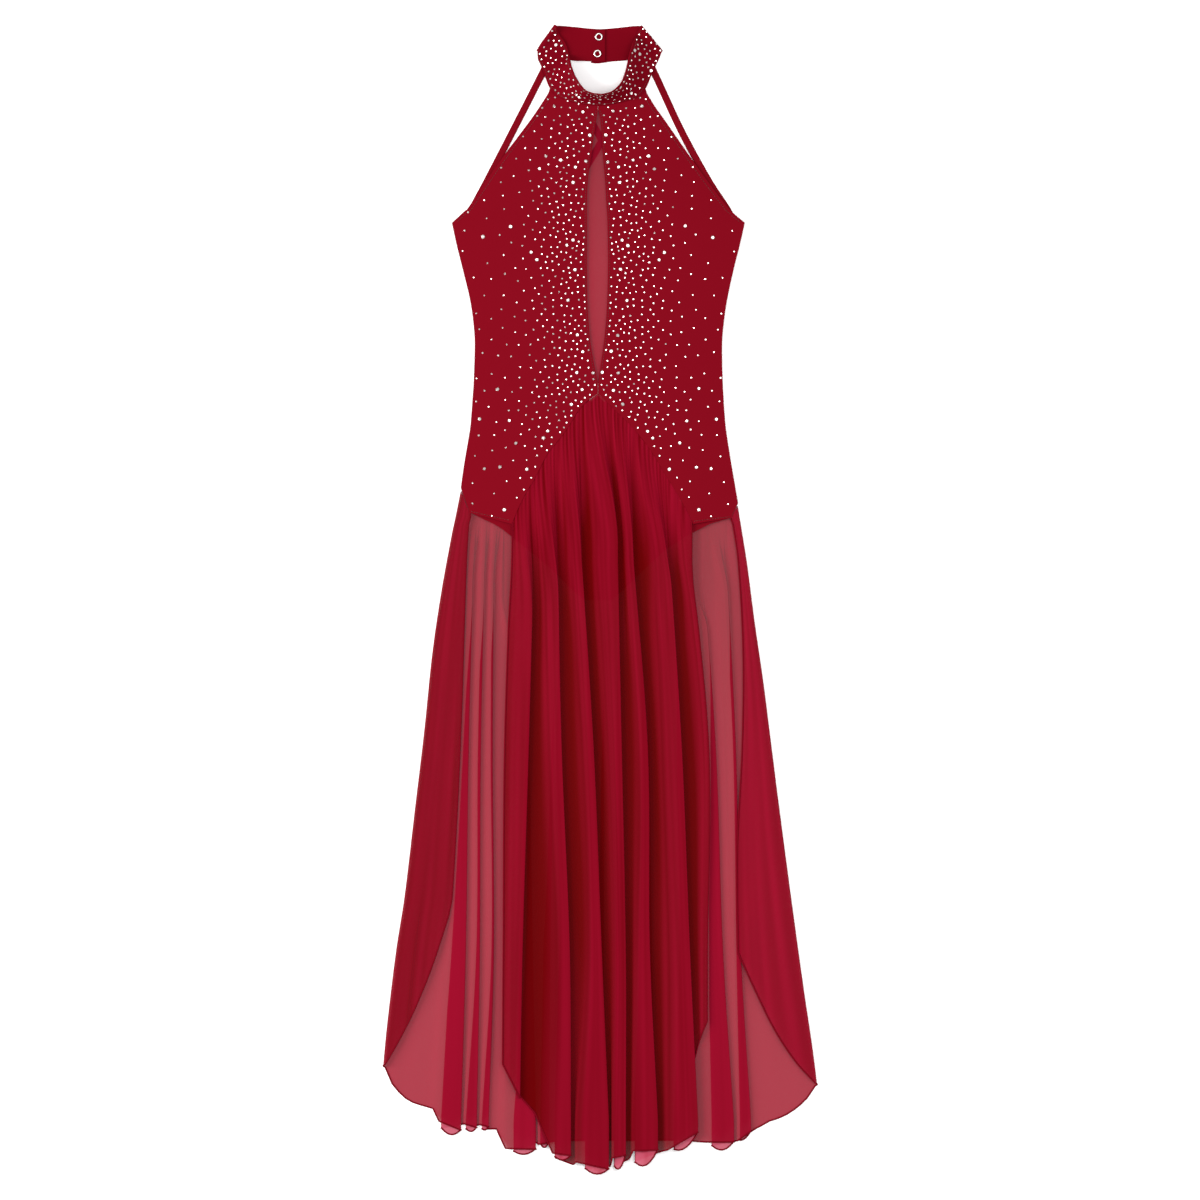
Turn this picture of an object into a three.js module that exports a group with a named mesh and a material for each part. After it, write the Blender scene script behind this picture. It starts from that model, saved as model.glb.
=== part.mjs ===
// A halter-neck lyrical dance dress laid flat on its back, front up.
// Millimetres. +Y runs from the hem to the collar, +Z from the floor up to the front of the dress.
import * as THREE from "three";

// Walls and the clear space kept at a seam
const CHIFFON_WALL = 1.0;
const JERSEY_WALL = 1.2;
const COLLAR_WALL = 1.5;
const MESH_WALL = 1.0;
const SEAM_GAP = 0.3;
const COLLAR_WIDTH = 40;
const STRAP_WIDTH = 8.8;
const STRAP_WALL = 1.2;
const SNAP_OUTER_RADIUS = 4.75;
const SNAP_INNER_RADIUS = 2.9;
const SNAP_HEIGHT = 1.3;
const SNAP_EDGE = 0.35;
const SNAP_SIDES = 24;
const SNAP_UPPER = [-1.5, 703.5];
const SNAP_LOWER = [-3.2, 682.5];
const CENTRE_X = -2.5;

// Heights of the layers, each the middle of its wall
const FRONT_SIDE_Z = 2.1;
const FRONT_HIP_Z = 4.4;
const CHEST_CROWN = 5;
const BRIEF_BACK_Z = 2.9;
const BRIEF_FRONT_Z = 4.4;
const BACK_FOLD_LOW_Z = 0.5;
const BACK_FOLD_HIGH_Z = 3.7;
const FRONT_FOLD_LOW_Z = 5.6;
const FRONT_FOLD_HIGH_Z = 11;
const FLAP_Z = 5.2;
const COLLAR_LAP_Z = 2.55;
const FOLD_RADIUS = 0.8;

const DEGREE = Math.PI / 180;

const mix = (a, b, t) => a + (b - a) * t;
const clamp = (value) => Math.min(1, Math.max(0, value));
const smooth = (from, to, value) => {
  const t = clamp((value - from) / (to - from));
  return t * t * (3 - 2 * t);
};

// Reads a table sorted by its first column, either way up, and holds its end values beyond it.
function read(table, key, column) {
  const up = table[table.length - 1][0] > table[0][0];
  for (let i = 1; i < table.length; i++) {
    const [a, b] = [table[i - 1], table[i]];
    if (up ? key <= b[0] : key >= b[0])
      return mix(a[column], b[column], clamp((key - a[0]) / (b[0] - a[0])));
  }
  return table[table.length - 1][column];
}

// A closed wall around a grid of middle points, given as rows of [x, y, z].
function wall(grid, thickness) {
  const rows = grid.length;
  const columns = grid[0].length;
  const point = (r, c) => new THREE.Vector3(...grid[r][c]);
  const positions = [];
  for (const side of [1, -1])
    for (let r = 0; r < rows; r++)
      for (let c = 0; c < columns; c++) {
        const across = point(r, Math.min(c + 1, columns - 1)).sub(point(r, Math.max(c - 1, 0)));
        const down = point(Math.min(r + 1, rows - 1), c).sub(point(Math.max(r - 1, 0), c));
        const out = down.cross(across).normalize();
        const place = point(r, c).addScaledVector(out, (side * thickness) / 2);
        positions.push(place.x, place.y, place.z);
      }
  const under = rows * columns;
  const index = [];
  const face = (a, b, c, d) => index.push(a, b, c, a, c, d);
  for (let r = 0; r + 1 < rows; r++)
    for (let c = 0; c + 1 < columns; c++) {
      const at = r * columns + c;
      face(at, at + columns, at + columns + 1, at + 1);
      face(under + at, under + at + 1, under + at + columns + 1, under + at + columns);
    }
  for (let c = 0; c + 1 < columns; c++) {
    const low = (rows - 1) * columns + c;
    face(c, c + 1, under + c + 1, under + c);
    face(low + 1, low, under + low, under + low + 1);
  }
  for (let r = 0; r + 1 < rows; r++) {
    const left = r * columns;
    const right = left + columns - 1;
    face(left + columns, left, under + left, under + left + columns);
    face(right, right + columns, under + right + columns, under + right);
  }
  const geometry = new THREE.BufferGeometry();
  geometry.setAttribute("position", new THREE.Float32BufferAttribute(positions, 3));
  geometry.setIndex(index);
  geometry.computeVertexNormals();
  return geometry;
}

// A flat panel cut to an outline, lying with its middle at height z.
function flatPanel(outline, thickness, z) {
  const shape = new THREE.Shape(outline.map(([x, y]) => new THREE.Vector2(x, y)));
  const geometry = new THREE.ExtrudeGeometry(shape, { depth: thickness, bevelEnabled: false });
  return geometry.translate(0, 0, z - thickness / 2);
}

// Height of the bodice front: low at the side seams, crowned towards the centre front
const CROWN = [
  // y, crown
  [640, 1.5],
  [600, 3],
  [470, CHEST_CROWN],
  [95, CHEST_CROWN],
];

function frontHeight(x, y, sideX) {
  const share = clamp(Math.abs(x - CENTRE_X) / Math.abs(sideX - CENTRE_X));
  const side = mix(FRONT_HIP_Z, FRONT_SIDE_Z, smooth(138, 178, y));
  return side + read(CROWN, y, 1) * (1 - share * share);
}

// Lower edge of the collar, where the two bodice fronts are sewn on
const NECKLINE = [
  // x, y
  [-62.4, 636.8],
  [-57.6, 630],
  [-43.5, 622.8],
  [-25.6, 618.3],
  [-2.5, 615.6],
  [18, 618.3],
  [37.3, 622.8],
  [52.6, 630],
  [56.8, 636],
];

// Bodice fronts, from the neckline to the leg edge
const LEFT_ROWS = [
  // side x, side y, inner x, inner y
  [-62.4, 636.8, -2.7, 615.6],
  [-73.8, 618.8, -2.7, 611.5],
  [-87.5, 598.8, -4.8, 598.8],
  [-117.5, 558.8, -10, 562.5],
  [-141.3, 525, -15, 525],
  [-163.8, 491.3, -16.3, 493.8],
  [-169.6, 485.5, -16.3, 484],
  [-185, 471.3, -16.3, 470],
  [-178.8, 442.5, -16.3, 441],
  [-171.9, 415, -16.3, 412.5],
  [-161.8, 372.5, -15.6, 371],
  [-157, 333.8, -13.1, 333.8],
  [-156.6, 308.8, -10, 308.8],
  [-157.9, 270, -2.7, 271],
  [-158.8, 257.5, -2.7, 258],
  [-160.4, 235, -23.8, 240.6],
  [-162.5, 212.5, -43.8, 210],
  [-169.1, 173.8, -65.4, 182.5],
  [-172.5, 150, -82.5, 150],
  [-173.8, 140, -91.3, 136],
  [-167.5, 122.5, -101.9, 115],
  [-162.5, 108.8, -110, 95],
];

const RIGHT_ROWS = [
  // side x, side y, inner x, inner y
  [56.8, 636, -2.3, 615.6],
  [68.8, 616.3, -2.3, 611.5],
  [81.3, 598.8, 0.8, 598.8],
  [110, 557.5, 3.1, 561],
  [135, 522.5, 6.3, 525],
  [160, 490, 8.1, 493.8],
  [167.5, 482.5, 9, 482],
  [181, 471.3, 9.4, 470],
  [174.4, 442.5, 10, 441],
  [167.5, 415, 10, 412.5],
  [158.4, 372.5, 8.8, 369],
  [153.4, 333.8, 6.3, 333.8],
  [152.5, 308.8, 3.1, 308.8],
  [153.4, 270, -2.3, 271],
  [154.1, 257.5, -2.3, 258],
  [155.4, 235, 16.9, 238.8],
  [157.5, 212.5, 37.5, 218.8],
  [162.5, 180, 61.3, 190],
  [167, 152.5, 78.8, 161.3],
  [172.5, 120.5, 98.8, 128.8],
  [168, 112.5, 108.1, 112.5],
  [163.8, 102.5, 116.3, 95],
];

const FRONT_COLUMNS = 8;

function bodiceFront(rows) {
  const grid = rows.map(([sideX, sideY, innerX, innerY], r) => {
    const line = [];
    for (let c = 0; c <= FRONT_COLUMNS; c++) {
      const u = c / FRONT_COLUMNS;
      const x = mix(sideX, innerX, u);
      const y = r === 0 ? read(NECKLINE, x, 1) : mix(sideY, innerY, u);
      line.push([x, y, frontHeight(x, y, sideX)]);
    }
    return sideX > innerX ? line.reverse() : line;
  });
  return wall(grid, JERSEY_WALL);
}

// Sheer insert behind the keyhole, sewn on under both bodice fronts
const MESH_MARGIN = 6;
const MESH_DROP = JERSEY_WALL / 2 + SEAM_GAP + MESH_WALL / 2 + 0.1;
const MESH_COLUMNS = 6;
const MESH_FIRST_ROW = 2;
const MESH_LAST_ROW = 13;

function keyholeMesh() {
  const grid = [];
  for (let r = MESH_FIRST_ROW; r <= MESH_LAST_ROW; r++) {
    const [leftSide, , leftX, leftY] = LEFT_ROWS[r];
    const [rightSide, , rightX, rightY] = RIGHT_ROWS[r];
    const line = [];
    for (let c = 0; c <= MESH_COLUMNS; c++) {
      const x = mix(leftX - MESH_MARGIN, rightX + MESH_MARGIN, c / MESH_COLUMNS);
      const y = (leftY + rightY) / 2;
      line.push([x, y, frontHeight(x, y, x < CENTRE_X ? leftSide : rightSide) - MESH_DROP]);
    }
    grid.push(line);
  }
  return wall(grid, MESH_WALL);
}

// The open back: side seams, a deep scooped edge and the seam that carries the back skirt
const BACK_SEAM = [
  // x, y
  [-173.8, 139.5],
  [172.5, 120.5],
];

const BACK_SCOOP = [
  // x, y
  [179.5, 469.4],
  [145, 440],
  [96, 394],
  [63.8, 343.8],
  [32.5, 287.5],
  [9, 251],
  [-2.5, 245],
  [-14, 251],
  [-37.5, 287.5],
  [-68.8, 343.8],
  [-101, 394],
  [-150, 440],
  [-183.8, 469.4],
];

const SIDE_INSET = 0.6;
const SEAM_CLEAR = 0.2;

function bodiceBack() {
  const sides = (rows) => rows.slice(8, 20).map(([x, y]) => [x - Math.sign(x) * SIDE_INSET, y]);
  const above = (x) => [x, read(BACK_SEAM, x, 1) + SEAM_CLEAR];
  const left = sides(LEFT_ROWS).filter(([, y]) => y > 142);
  const right = sides(RIGHT_ROWS).filter(([, y]) => y > 124).reverse();
  const outline = [...BACK_SCOOP, ...left, above(-172.8), above(171.6), ...right];
  return flatPanel(outline, JERSEY_WALL, JERSEY_WALL / 2);
}

const BRIEF_BACK_OUTLINE = [
  // x, y
  [-166, 132],
  [-161.5, 109],
  [-145, 100.6],
  [-132.5, 95],
  [-120.6, 87.5],
  [-110, 78.8],
  [-87.5, 61],
  [-60, 38],
  [-34, 12],
  [-20, 0],
  [15, 0],
  [29, 12],
  [55, 38],
  [82, 63],
  [112, 82],
  [137, 95],
  [162.5, 102.5],
  [166, 114],
];

const BRIEF_FRONT_OUTLINE = [
  // x, y
  [-2.5, 255.5],
  [-22.3, 238.4],
  [-42.4, 207.8],
  [-64.2, 180.4],
  [-81.2, 148],
  [-90, 134],
  [-100.4, 113.5],
  [-108.4, 93.5],
  [-86, 78],
  [-56, 47],
  [-31, 15],
  [-18, 1],
  [13, 1],
  [27, 15],
  [56, 50],
  [93, 81],
  [114.6, 93.8],
  [106.6, 111],
  [97.2, 127],
  [77.4, 159.5],
  [60, 188],
  [36.2, 217],
  [15.4, 237],
];

// The halter collar: one strip that starts at its upper end at the centre back, runs round by the
// left fold, the standing front and the right fold, and ends under its own start.
const COLLAR_STATIONS = [
  // top edge x, top edge y, lower edge x, lower edge y, height of the lower edge's middle
  [6.2, 713, 6.2, 673.1, COLLAR_LAP_Z],
  [-2.5, 713.2, -2.5, 673, COLLAR_LAP_Z],
  [-11, 713.8, -11.5, 673.1, COLLAR_LAP_Z],
  [-19, 714.6, -21, 673.6, 1.5],
  [-28, 715.8, -33, 674, 0.75],
  [-45, 717.3, -56, 678.6, 0.75],
  [-54.8, 717.6, -77.8, 686, 0.75],
];
const COLLAR_FRONT = [
  // top edge x, top edge y, lower edge x, lower edge y, height of the lower edge's middle
  [-54.4, 717, -77.9, 685.2, 3.3],
  [-51, 706, -77.5, 675.5, 3.3],
  [-43.6, 695.8, -73.5, 667, 3.3],
  [-38.8, 681.2, -68.6, 653.8, 3.3],
  [-35, 662.8, -63.6, 641.3, 3.3],
  [-28.9, 648.3, -56.3, 631.3, 3.4],
  [-20, 634.9, -42.5, 624.4, 3.8],
  [-11.3, 629.5, -25, 620, 4.4],
  [-2.5, 627.7, -2.5, 617.5, 4.8],
  [5.6, 628.1, 17.5, 620, 4.4],
  [16.3, 632.3, 36.3, 624.4, 3.8],
  [26.2, 643, 51.3, 631.3, 3.4],
  [31.9, 657.6, 58.8, 642.5, 3.3],
  [35.6, 673.8, 63.8, 655, 3.3],
  [38.8, 686.8, 68.8, 666.3, 3.3],
  [45, 705, 74.4, 677.5, 3.3],
  [50.4, 716.8, 77, 684.8, 3.3],
];
const COLLAR_RETURN = [
  // top edge x, top edge y, lower edge x, lower edge y, height of the lower edge's middle
  [50.8, 717.4, 76.9, 685.6, 0.75],
  [42, 717.3, 56, 678.6, 0.75],
  [30, 716, 34, 674.6, 0.75],
  [15, 714.4, 15, 673, 0.75],
  [-2.5, 713.2, -2.5, 670.6, 0.75],
  [-11.2, 713.2, -11.2, 671.6, 0.75],
];
const COLLAR_STEPS = 6;
const COLLAR_CURL = 25 * DEGREE;

// One line across the collar. Where its two edges come closer in plan than the strip is wide, the
// strip stands up, and it curves more steeply towards its top edge.
function collarLine([topX, topY, lowX, lowY, height], stands) {
  const plan = Math.hypot(topX - lowX, topY - lowY);
  const curl = stands ? COLLAR_CURL * smooth(COLLAR_WIDTH, COLLAR_WIDTH - 8, plan) : 0;
  const spread = curl > 0 ? Math.sin(curl) / curl : 1;
  const lean = stands ? Math.acos(clamp(plan / (COLLAR_WIDTH * spread))) : 0;
  const line = [];
  let [along, up] = [0, 0];
  const raw = [[0, 0]];
  for (let i = 0; i < COLLAR_STEPS; i++) {
    const angle = lean + curl * (((i + 0.5) / COLLAR_STEPS) * 2 - 1);
    along += Math.cos(angle);
    up += Math.sin(angle);
    raw.push([along, up]);
  }
  for (const [a, u] of raw) {
    const t = a / along;
    const rise = lean > 0 ? (u * COLLAR_WIDTH) / COLLAR_STEPS : 0;
    line.push([mix(lowX, topX, t), mix(lowY, topY, t), height + rise]);
  }
  return line.reverse();
}

// The turn at a side fold, from one line to the next over a rounded bend that faces outwards.
const COLLAR_TURN_ANGLES = [35, 90, 145];
const COLLAR_BEND_REACH = 2;

function collarTurn(from, to, side) {
  const [first, last] = [from[0], from[from.length - 1]];
  const length = Math.hypot(first[0] - last[0], first[1] - last[1]);
  const outX = (side * (first[1] - last[1])) / length;
  const outY = (-side * (first[0] - last[0])) / length;
  return COLLAR_TURN_ANGLES.map((angle) => {
    const share = (1 - Math.cos(angle * DEGREE)) / 2;
    return from.map(([x, y, z], i) => {
      const reach = Math.min((to[i][2] - z) / 2, COLLAR_BEND_REACH);
      const bulge = Math.abs(reach) * Math.sin(angle * DEGREE);
      return [
        mix(x, to[i][0], share) + bulge * outX,
        mix(y, to[i][1], share) + bulge * outY,
        mix(z, to[i][2], share),
      ];
    });
  });
}

function collar() {
  const start = COLLAR_STATIONS.map((station) => collarLine(station, false));
  const front = COLLAR_FRONT.map((station) => collarLine(station, true));
  const end = COLLAR_RETURN.map((station) => collarLine(station, false));
  const lines = [
    ...start,
    ...collarTurn(start[start.length - 1], front[0], -1),
    ...front,
    ...collarTurn(front[front.length - 1], end[0], 1),
    ...end,
  ];
  const grid = lines[0].map((unused, i) => lines.map((line) => line[i]));
  return wall(grid, COLLAR_WALL);
}

// Narrow straps of folded binding, each along a short run of centre points
const STRAP_SECTION = [
  // share of the half width, share of the wall
  [-1, 0],
  [1, 0],
  [1, 0.6],
  [0.35, 1],
  [-0.35, 1],
  [-1, 0.6],
];

function strap(path) {
  const ring = STRAP_SECTION.length;
  const positions = [];
  path.forEach(([x, y, z], i) => {
    const before = path[Math.max(i - 1, 0)];
    const after = path[Math.min(i + 1, path.length - 1)];
    const [dx, dy] = [after[0] - before[0], after[1] - before[1]];
    const length = Math.hypot(dx, dy);
    for (const [across, up] of STRAP_SECTION) {
      const offset = (across * STRAP_WIDTH) / 2 / length;
      positions.push(x + dy * offset, y - dx * offset, z + up * STRAP_WALL);
    }
  });
  const index = [];
  for (let i = 0; i + 1 < path.length; i++)
    for (let k = 0; k < ring; k++) {
      const [a, b] = [i * ring + k, i * ring + ((k + 1) % ring)];
      index.push(a, a + ring, b, b, a + ring, b + ring);
    }
  const last = (path.length - 1) * ring;
  for (let k = 1; k + 1 < ring; k++) {
    index.push(0, k, k + 1);
    index.push(last, last + k + 1, last + k);
  }
  const geometry = new THREE.BufferGeometry();
  geometry.setAttribute("position", new THREE.Float32BufferAttribute(positions, 3));
  geometry.setIndex(index);
  geometry.computeVertexNormals();
  return geometry;
}

const OUTER_STRAP_LEFT = [
  // x, y, height of its underside
  [-62.5, 677.2, 0],
  [-96.6, 610, 0],
  [-140.4, 525, 0],
  [-158.3, 491, 0],
  [-170.6, 460.6, 0],
];
const OUTER_STRAP_RIGHT = [
  // x, y, height of its underside
  [58.5, 677.2, 0],
  [70.3, 653.8, 0],
  [101, 587.5, 0],
  [135, 525, 0],
  [161.5, 483.8, 0],
  [167.4, 462.2, 0],
];
const CROSS_LIFT = STRAP_WALL + SEAM_GAP;
const CROSS_STRAP_LEFT = [
  // x, y, height of its underside
  [-51.3, 673.6, 0],
  [2.5, 573.8, 0],
  [101.3, 402, 0],
];
const CROSS_STRAP_RIGHT = [
  // x, y, height of its underside
  [46.3, 673.6, 0],
  [21, 616, 0],
  [9.5, 589, CROSS_LIFT],
  [2.5, 573.8, CROSS_LIFT],
  [-6, 559.5, CROSS_LIFT],
  [-22, 533, 0],
  [-106.3, 402, 0],
];

// A ring snap lying on the lapped end of the collar
function snapRing([x, y]) {
  const bottom = COLLAR_LAP_Z + COLLAR_WALL / 2 + SEAM_GAP;
  const profile = [
    [SNAP_INNER_RADIUS, 0],
    [SNAP_OUTER_RADIUS, 0],
    [SNAP_OUTER_RADIUS, SNAP_HEIGHT - SNAP_EDGE],
    [SNAP_OUTER_RADIUS - SNAP_EDGE, SNAP_HEIGHT],
    [SNAP_INNER_RADIUS + SNAP_EDGE, SNAP_HEIGHT],
    [SNAP_INNER_RADIUS, SNAP_HEIGHT - SNAP_EDGE],
    [SNAP_INNER_RADIUS, 0],
  ].map(([radius, height]) => new THREE.Vector2(radius, height));
  const ring = new THREE.LatheGeometry(profile, SNAP_SIDES);
  return ring.rotateX(90 * DEGREE).translate(x, y, bottom);
}

// Folds of the two skirt panels. Each lies as an S: a run on top, a turn at its crisp right edge, a
// lap back underneath, a second turn, and a low run to where the cloth rises into the next fold.
// Every fold gives x at the four stations, and five hem heights: at the start of the top run, at
// the crisp edge, at the middle of the lap, at its back turn and at the end of the low run.
const STATIONS = [50, -188, -438, -650];
const at = (values, y) => read(STATIONS.map((station, i) => [station, values[i]]), y, 1);

const WIDEST_LAP = 40;
function fold(seam, edge, start, hem, opensAt = 0, lapMost = WIDEST_LAP) {
  return { seam, edge, start, hem, opensAt, lapMost };
}

const FIRST_LAP = 4;
const FIRST_HEM = [-579, -621, -618, -612, -640];
const FRONT_FOLDS = [
  // seam x, crisp edge x, start x, hem y, share of the length where it opens, widest lap
  fold(-109.4, [-82.5, -88.8, -96.3, -100], [-111.3, -119, -120.6, -122], FIRST_HEM, 0, FIRST_LAP),
  fold(-80, [-52.5, -47.5, -37.5, -36], [-70, -65, -55, -59], [-690, -693, -699, -695, -705]),
  fold(-48, [-22.5, -7.5, 2.5, 11.3], [-37.5, -22.5, -15, -30], [-701, -710, -716.5, -710, -707]),
  fold(-18, [22.5, 27.5, 32.5, 32.5], [-5, 10, 17.5, 15], [-696, -692.5, -709, -707, -698]),
  fold(18, [42, 60, 62.5, 72.5], [32, 48, 45, 41], [-687, -686, -705, -702, -688]),
  fold(47, [87.5, 102.5, 112.5, 122.5], [66, 76, 84, 84], [-686, -664, -683, -686, -556]),
];
const FRONT_END_SEAM = [100, 114.6];
const FRONT_END_START = [113.8, 135.6, 133.8, 133.8];
const FRONT_END_HEM = [-540, -526];
const FRONT_END_REACH = 6;
const FRONT_END_RAISE = 0.32;
const FRONT_LAP = [4, 8, 13, 30];
const FRONT_OPEN_SHARE = 0.2;
const FRONT_LAP_SHARE = 0.48;

const BACK_FOLDS = [
  // seam x, crisp edge x, start x, hem y, share of the length where it opens
  fold(-160, [-158, -164, -167.5, -173.5], [-164.5, -174, -189, -201], [-651, -662, -668, -660, -655], 0.04),
  fold(-147, [-143.8, -148.8, -150, -153.8], [-149, -155, -157, -170], [-654, -659, -664, -661, -656], 0.04),
  fold(-134, [-132.5, -134, -132.5, -139], [-137.5, -139, -138, -150], [-655, -658, -662, -661, -661], 0.04),
  fold(-120, [-92, -88, -84, -80], [-106, -108, -114, -118], [-685, -686, -692.5, -689, -678], 0.16),
  fold(-75, [-55, -58, -62, -63.8], [-66, -69, -73, -77], [-680, -678, -684, -680, -675], 0.16),
  fold(-45, [5, 5, 5, 5], [-15, -20, -25, -30], [-675, -675, -675, -675, -675], 0.16),
  fold(20, [60, 62, 65, 68], [40, 37, 35, 33], [-675, -675, -675, -675, -675], 0.16),
  fold(90, [128, 145, 153.8, 167.5], [116, 131, 134, 133.5], [-677, -677, -687, -682, -676], 0.1),
  fold(140, [158, 170, 176, 188.8], [152, 164, 168, 172.5], [-675, -664, -672, -675, -660], 0.04),
];
const BACK_END_SEAM = [160, 169];
const BACK_LAP = [2, 3.2, 9, 28];
const BACK_OPEN_SHARE = 0.1;
const BACK_LAP_SHARE = 0.3;

const TOP_RUN_CROWN = 0.3;
const LOW_RUN_SHARE = 0.45;
const RISES = [0.33, 0.67];
const FULL_TURN_LAP = 2.4;
const EDGE_STAND_OFF = 0.15;
const RISE_AHEAD = 2.2;
const GATHER_SLOPE = 0.16;
const GATHER_HEIGHT = 0.35;

// The points of one fold from the start of its top run to the start of its low run, at height y,
// as [x, z, hem part, hem share]. Before it laps over, its edge stands as a plain step.
function crispPoints(fold, y, lap, low, high) {
  const [edge, start] = [at(fold.edge, y), at(fold.start, y)];
  const radius = FOLD_RADIUS;
  const run = edge - radius;
  const reach = Math.min(lap, fold.lapMost, run - start - 2 * radius);
  const folded = clamp(reach / FULL_TURN_LAP);
  const back = edge - Math.max(reach, FULL_TURN_LAP) + radius;
  const bulge = radius * Math.sin(60 * DEGREE);
  const stand = EDGE_STAND_OFF * (1 - folded);
  const lapTop = high - 2 * radius + stand;
  const lapLow = low + 2 * radius - stand;
  return [
    [start, high, 0, 0],
    [mix(start, run, 0.35), high + TOP_RUN_CROWN, 0, 0.35],
    [mix(start, run, 0.7), high + TOP_RUN_CROWN, 0, 0.7],
    [run, high, 0, 1],
    [run + bulge, high - radius / 2, 0, 1],
    [run + bulge, high - 1.5 * radius, 0, 1],
    [mix(edge, run, folded), lapTop, 1, 0],
    [mix(edge, (run + back) / 2, folded), (lapTop + lapLow) / 2, 1, 0.5],
    [mix(edge, back, folded), lapLow, 1, 1],
    [mix(edge, back - bulge, folded), low + 1.5 * radius, 2, 0],
    [mix(edge, back - bulge, folded), low + radius / 2, 2, 0],
    [mix(edge + radius, back, folded), low, 2, 0.15],
  ];
}

const CRISP_COUNT = 12;
const EDGE_POINT = 5;
const POINTS_IN_FOLD = CRISP_COUNT + 1 + RISES.length;

// Hem height of one point of a fold: along its top run, round its lap, along its low run or up its
// rise to the next fold
function hemOf({ hem: [top, edge, under, back, low] }, nextHem, part, share) {
  if (part === 0) return mix(top, edge, share);
  if (part === 1) return mix(edge, back, share) + 4 * share * (1 - share) * (under - (edge + back) / 2);
  if (part === 2) return mix(back, low, share);
  return mix(low, nextHem, share);
}

// The columns of a run of folds. A column holds its x on the seam, its hem height, and its place at
// height y once a share of the length has gone by: flat at the seam, then standing, then lapped.
function foldColumns(folds, end, laps, openShare, lapShare, low, high) {
  const crispAt = (one, nextSeam, k, y, share) => {
    const lap = at(laps, y) * smooth(one.opensAt + openShare, one.opensAt + lapShare, share);
    const [x, z] = crispPoints(one, y, lap, low, high)[k];
    const opened = smooth(one.opensAt, one.opensAt + openShare, share);
    const seamX = mix(one.seam, nextSeam, k / POINTS_IN_FOLD);
    return { x: mix(seamX, x, opened), z, raised: clamp(RISE_AHEAD * opened) };
  };
  return folds.flatMap((one, i) => {
    const next = folds[i + 1];
    const nextSeam = next ? next.seam : end.seam;
    const nextHem = next ? next.hem[0] : end.hem;
    const after = next ? folds[i + 2]?.seam ?? end.seam : 0;
    const ahead = (y, share) => (next ? crispAt(next, after, 0, y, share) : end.place(y, share));
    const columns = [];
    for (let k = 0; k < POINTS_IN_FOLD; k++) {
      const gather = Math.min(GATHER_HEIGHT, (GATHER_SLOPE * (nextSeam - one.seam)) / POINTS_IN_FOLD);
      if (k < CRISP_COUNT) {
        const [, , part, share] = crispPoints(one, 0, at(laps, 0), low, high)[k];
        columns.push({
          seamX: mix(one.seam, nextSeam, k / POINTS_IN_FOLD),
          gather,
          hem: hemOf(one, nextHem, part, share),
          place: (y, gone) => crispAt(one, nextSeam, k, y, gone),
        });
        continue;
      }
      const rise = k === CRISP_COUNT ? 0 : RISES[k - CRISP_COUNT - 1];
      const across = mix(LOW_RUN_SHARE, 1, rise);
      const lastCrispX = mix(one.seam, nextSeam, (CRISP_COUNT - 1) / POINTS_IN_FOLD);
      columns.push({
        seamX: mix(lastCrispX, nextSeam, across),
        gather,
        hem: k === CRISP_COUNT ? hemOf(one, nextHem, 2, 1) : hemOf(one, nextHem, 3, rise),
        place: (y, gone) => {
          const from = crispAt(one, nextSeam, CRISP_COUNT - 1, y, gone);
          const edge = crispAt(one, nextSeam, EDGE_POINT, y, gone);
          const to = ahead(y, gone);
          return {
            x: mix(Math.max(from.x, edge.x), to.x, across),
            z: mix(low, to.z, smooth(0, 1, rise)),
            raised: mix(from.raised, to.raised, rise),
          };
        },
      });
    }
    return columns;
  });
}

// Front skirt, gathered onto the inverted V between the bodice fronts and the brief
const V_SEAM = [
  // x, y
  [-110, 95],
  [-101.9, 115],
  [-91.3, 136],
  [-82.5, 150],
  [-65.4, 182.5],
  [-43.8, 210],
  [-23.8, 240.6],
  [-2.5, 257.5],
  [16.9, 238.8],
  [37.5, 218.8],
  [61.3, 190],
  [78.8, 161.3],
  [98.8, 128.8],
  [108.1, 112.5],
  [116.3, 95],
];
const V_SEAM_CLEAR = 1.1;
const FRONT_SHARES = [0, 0.025, 0.06, 0.12, 0.2, 0.34, 0.48, 0.62, 0.76, 0.88, 0.95, 1];

function hipSideX(y, x) {
  const rows = (x < CENTRE_X ? LEFT_ROWS : RIGHT_ROWS).slice(13).map((row) => [row[1], row[0]]);
  return read(rows, y, 1);
}

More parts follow.
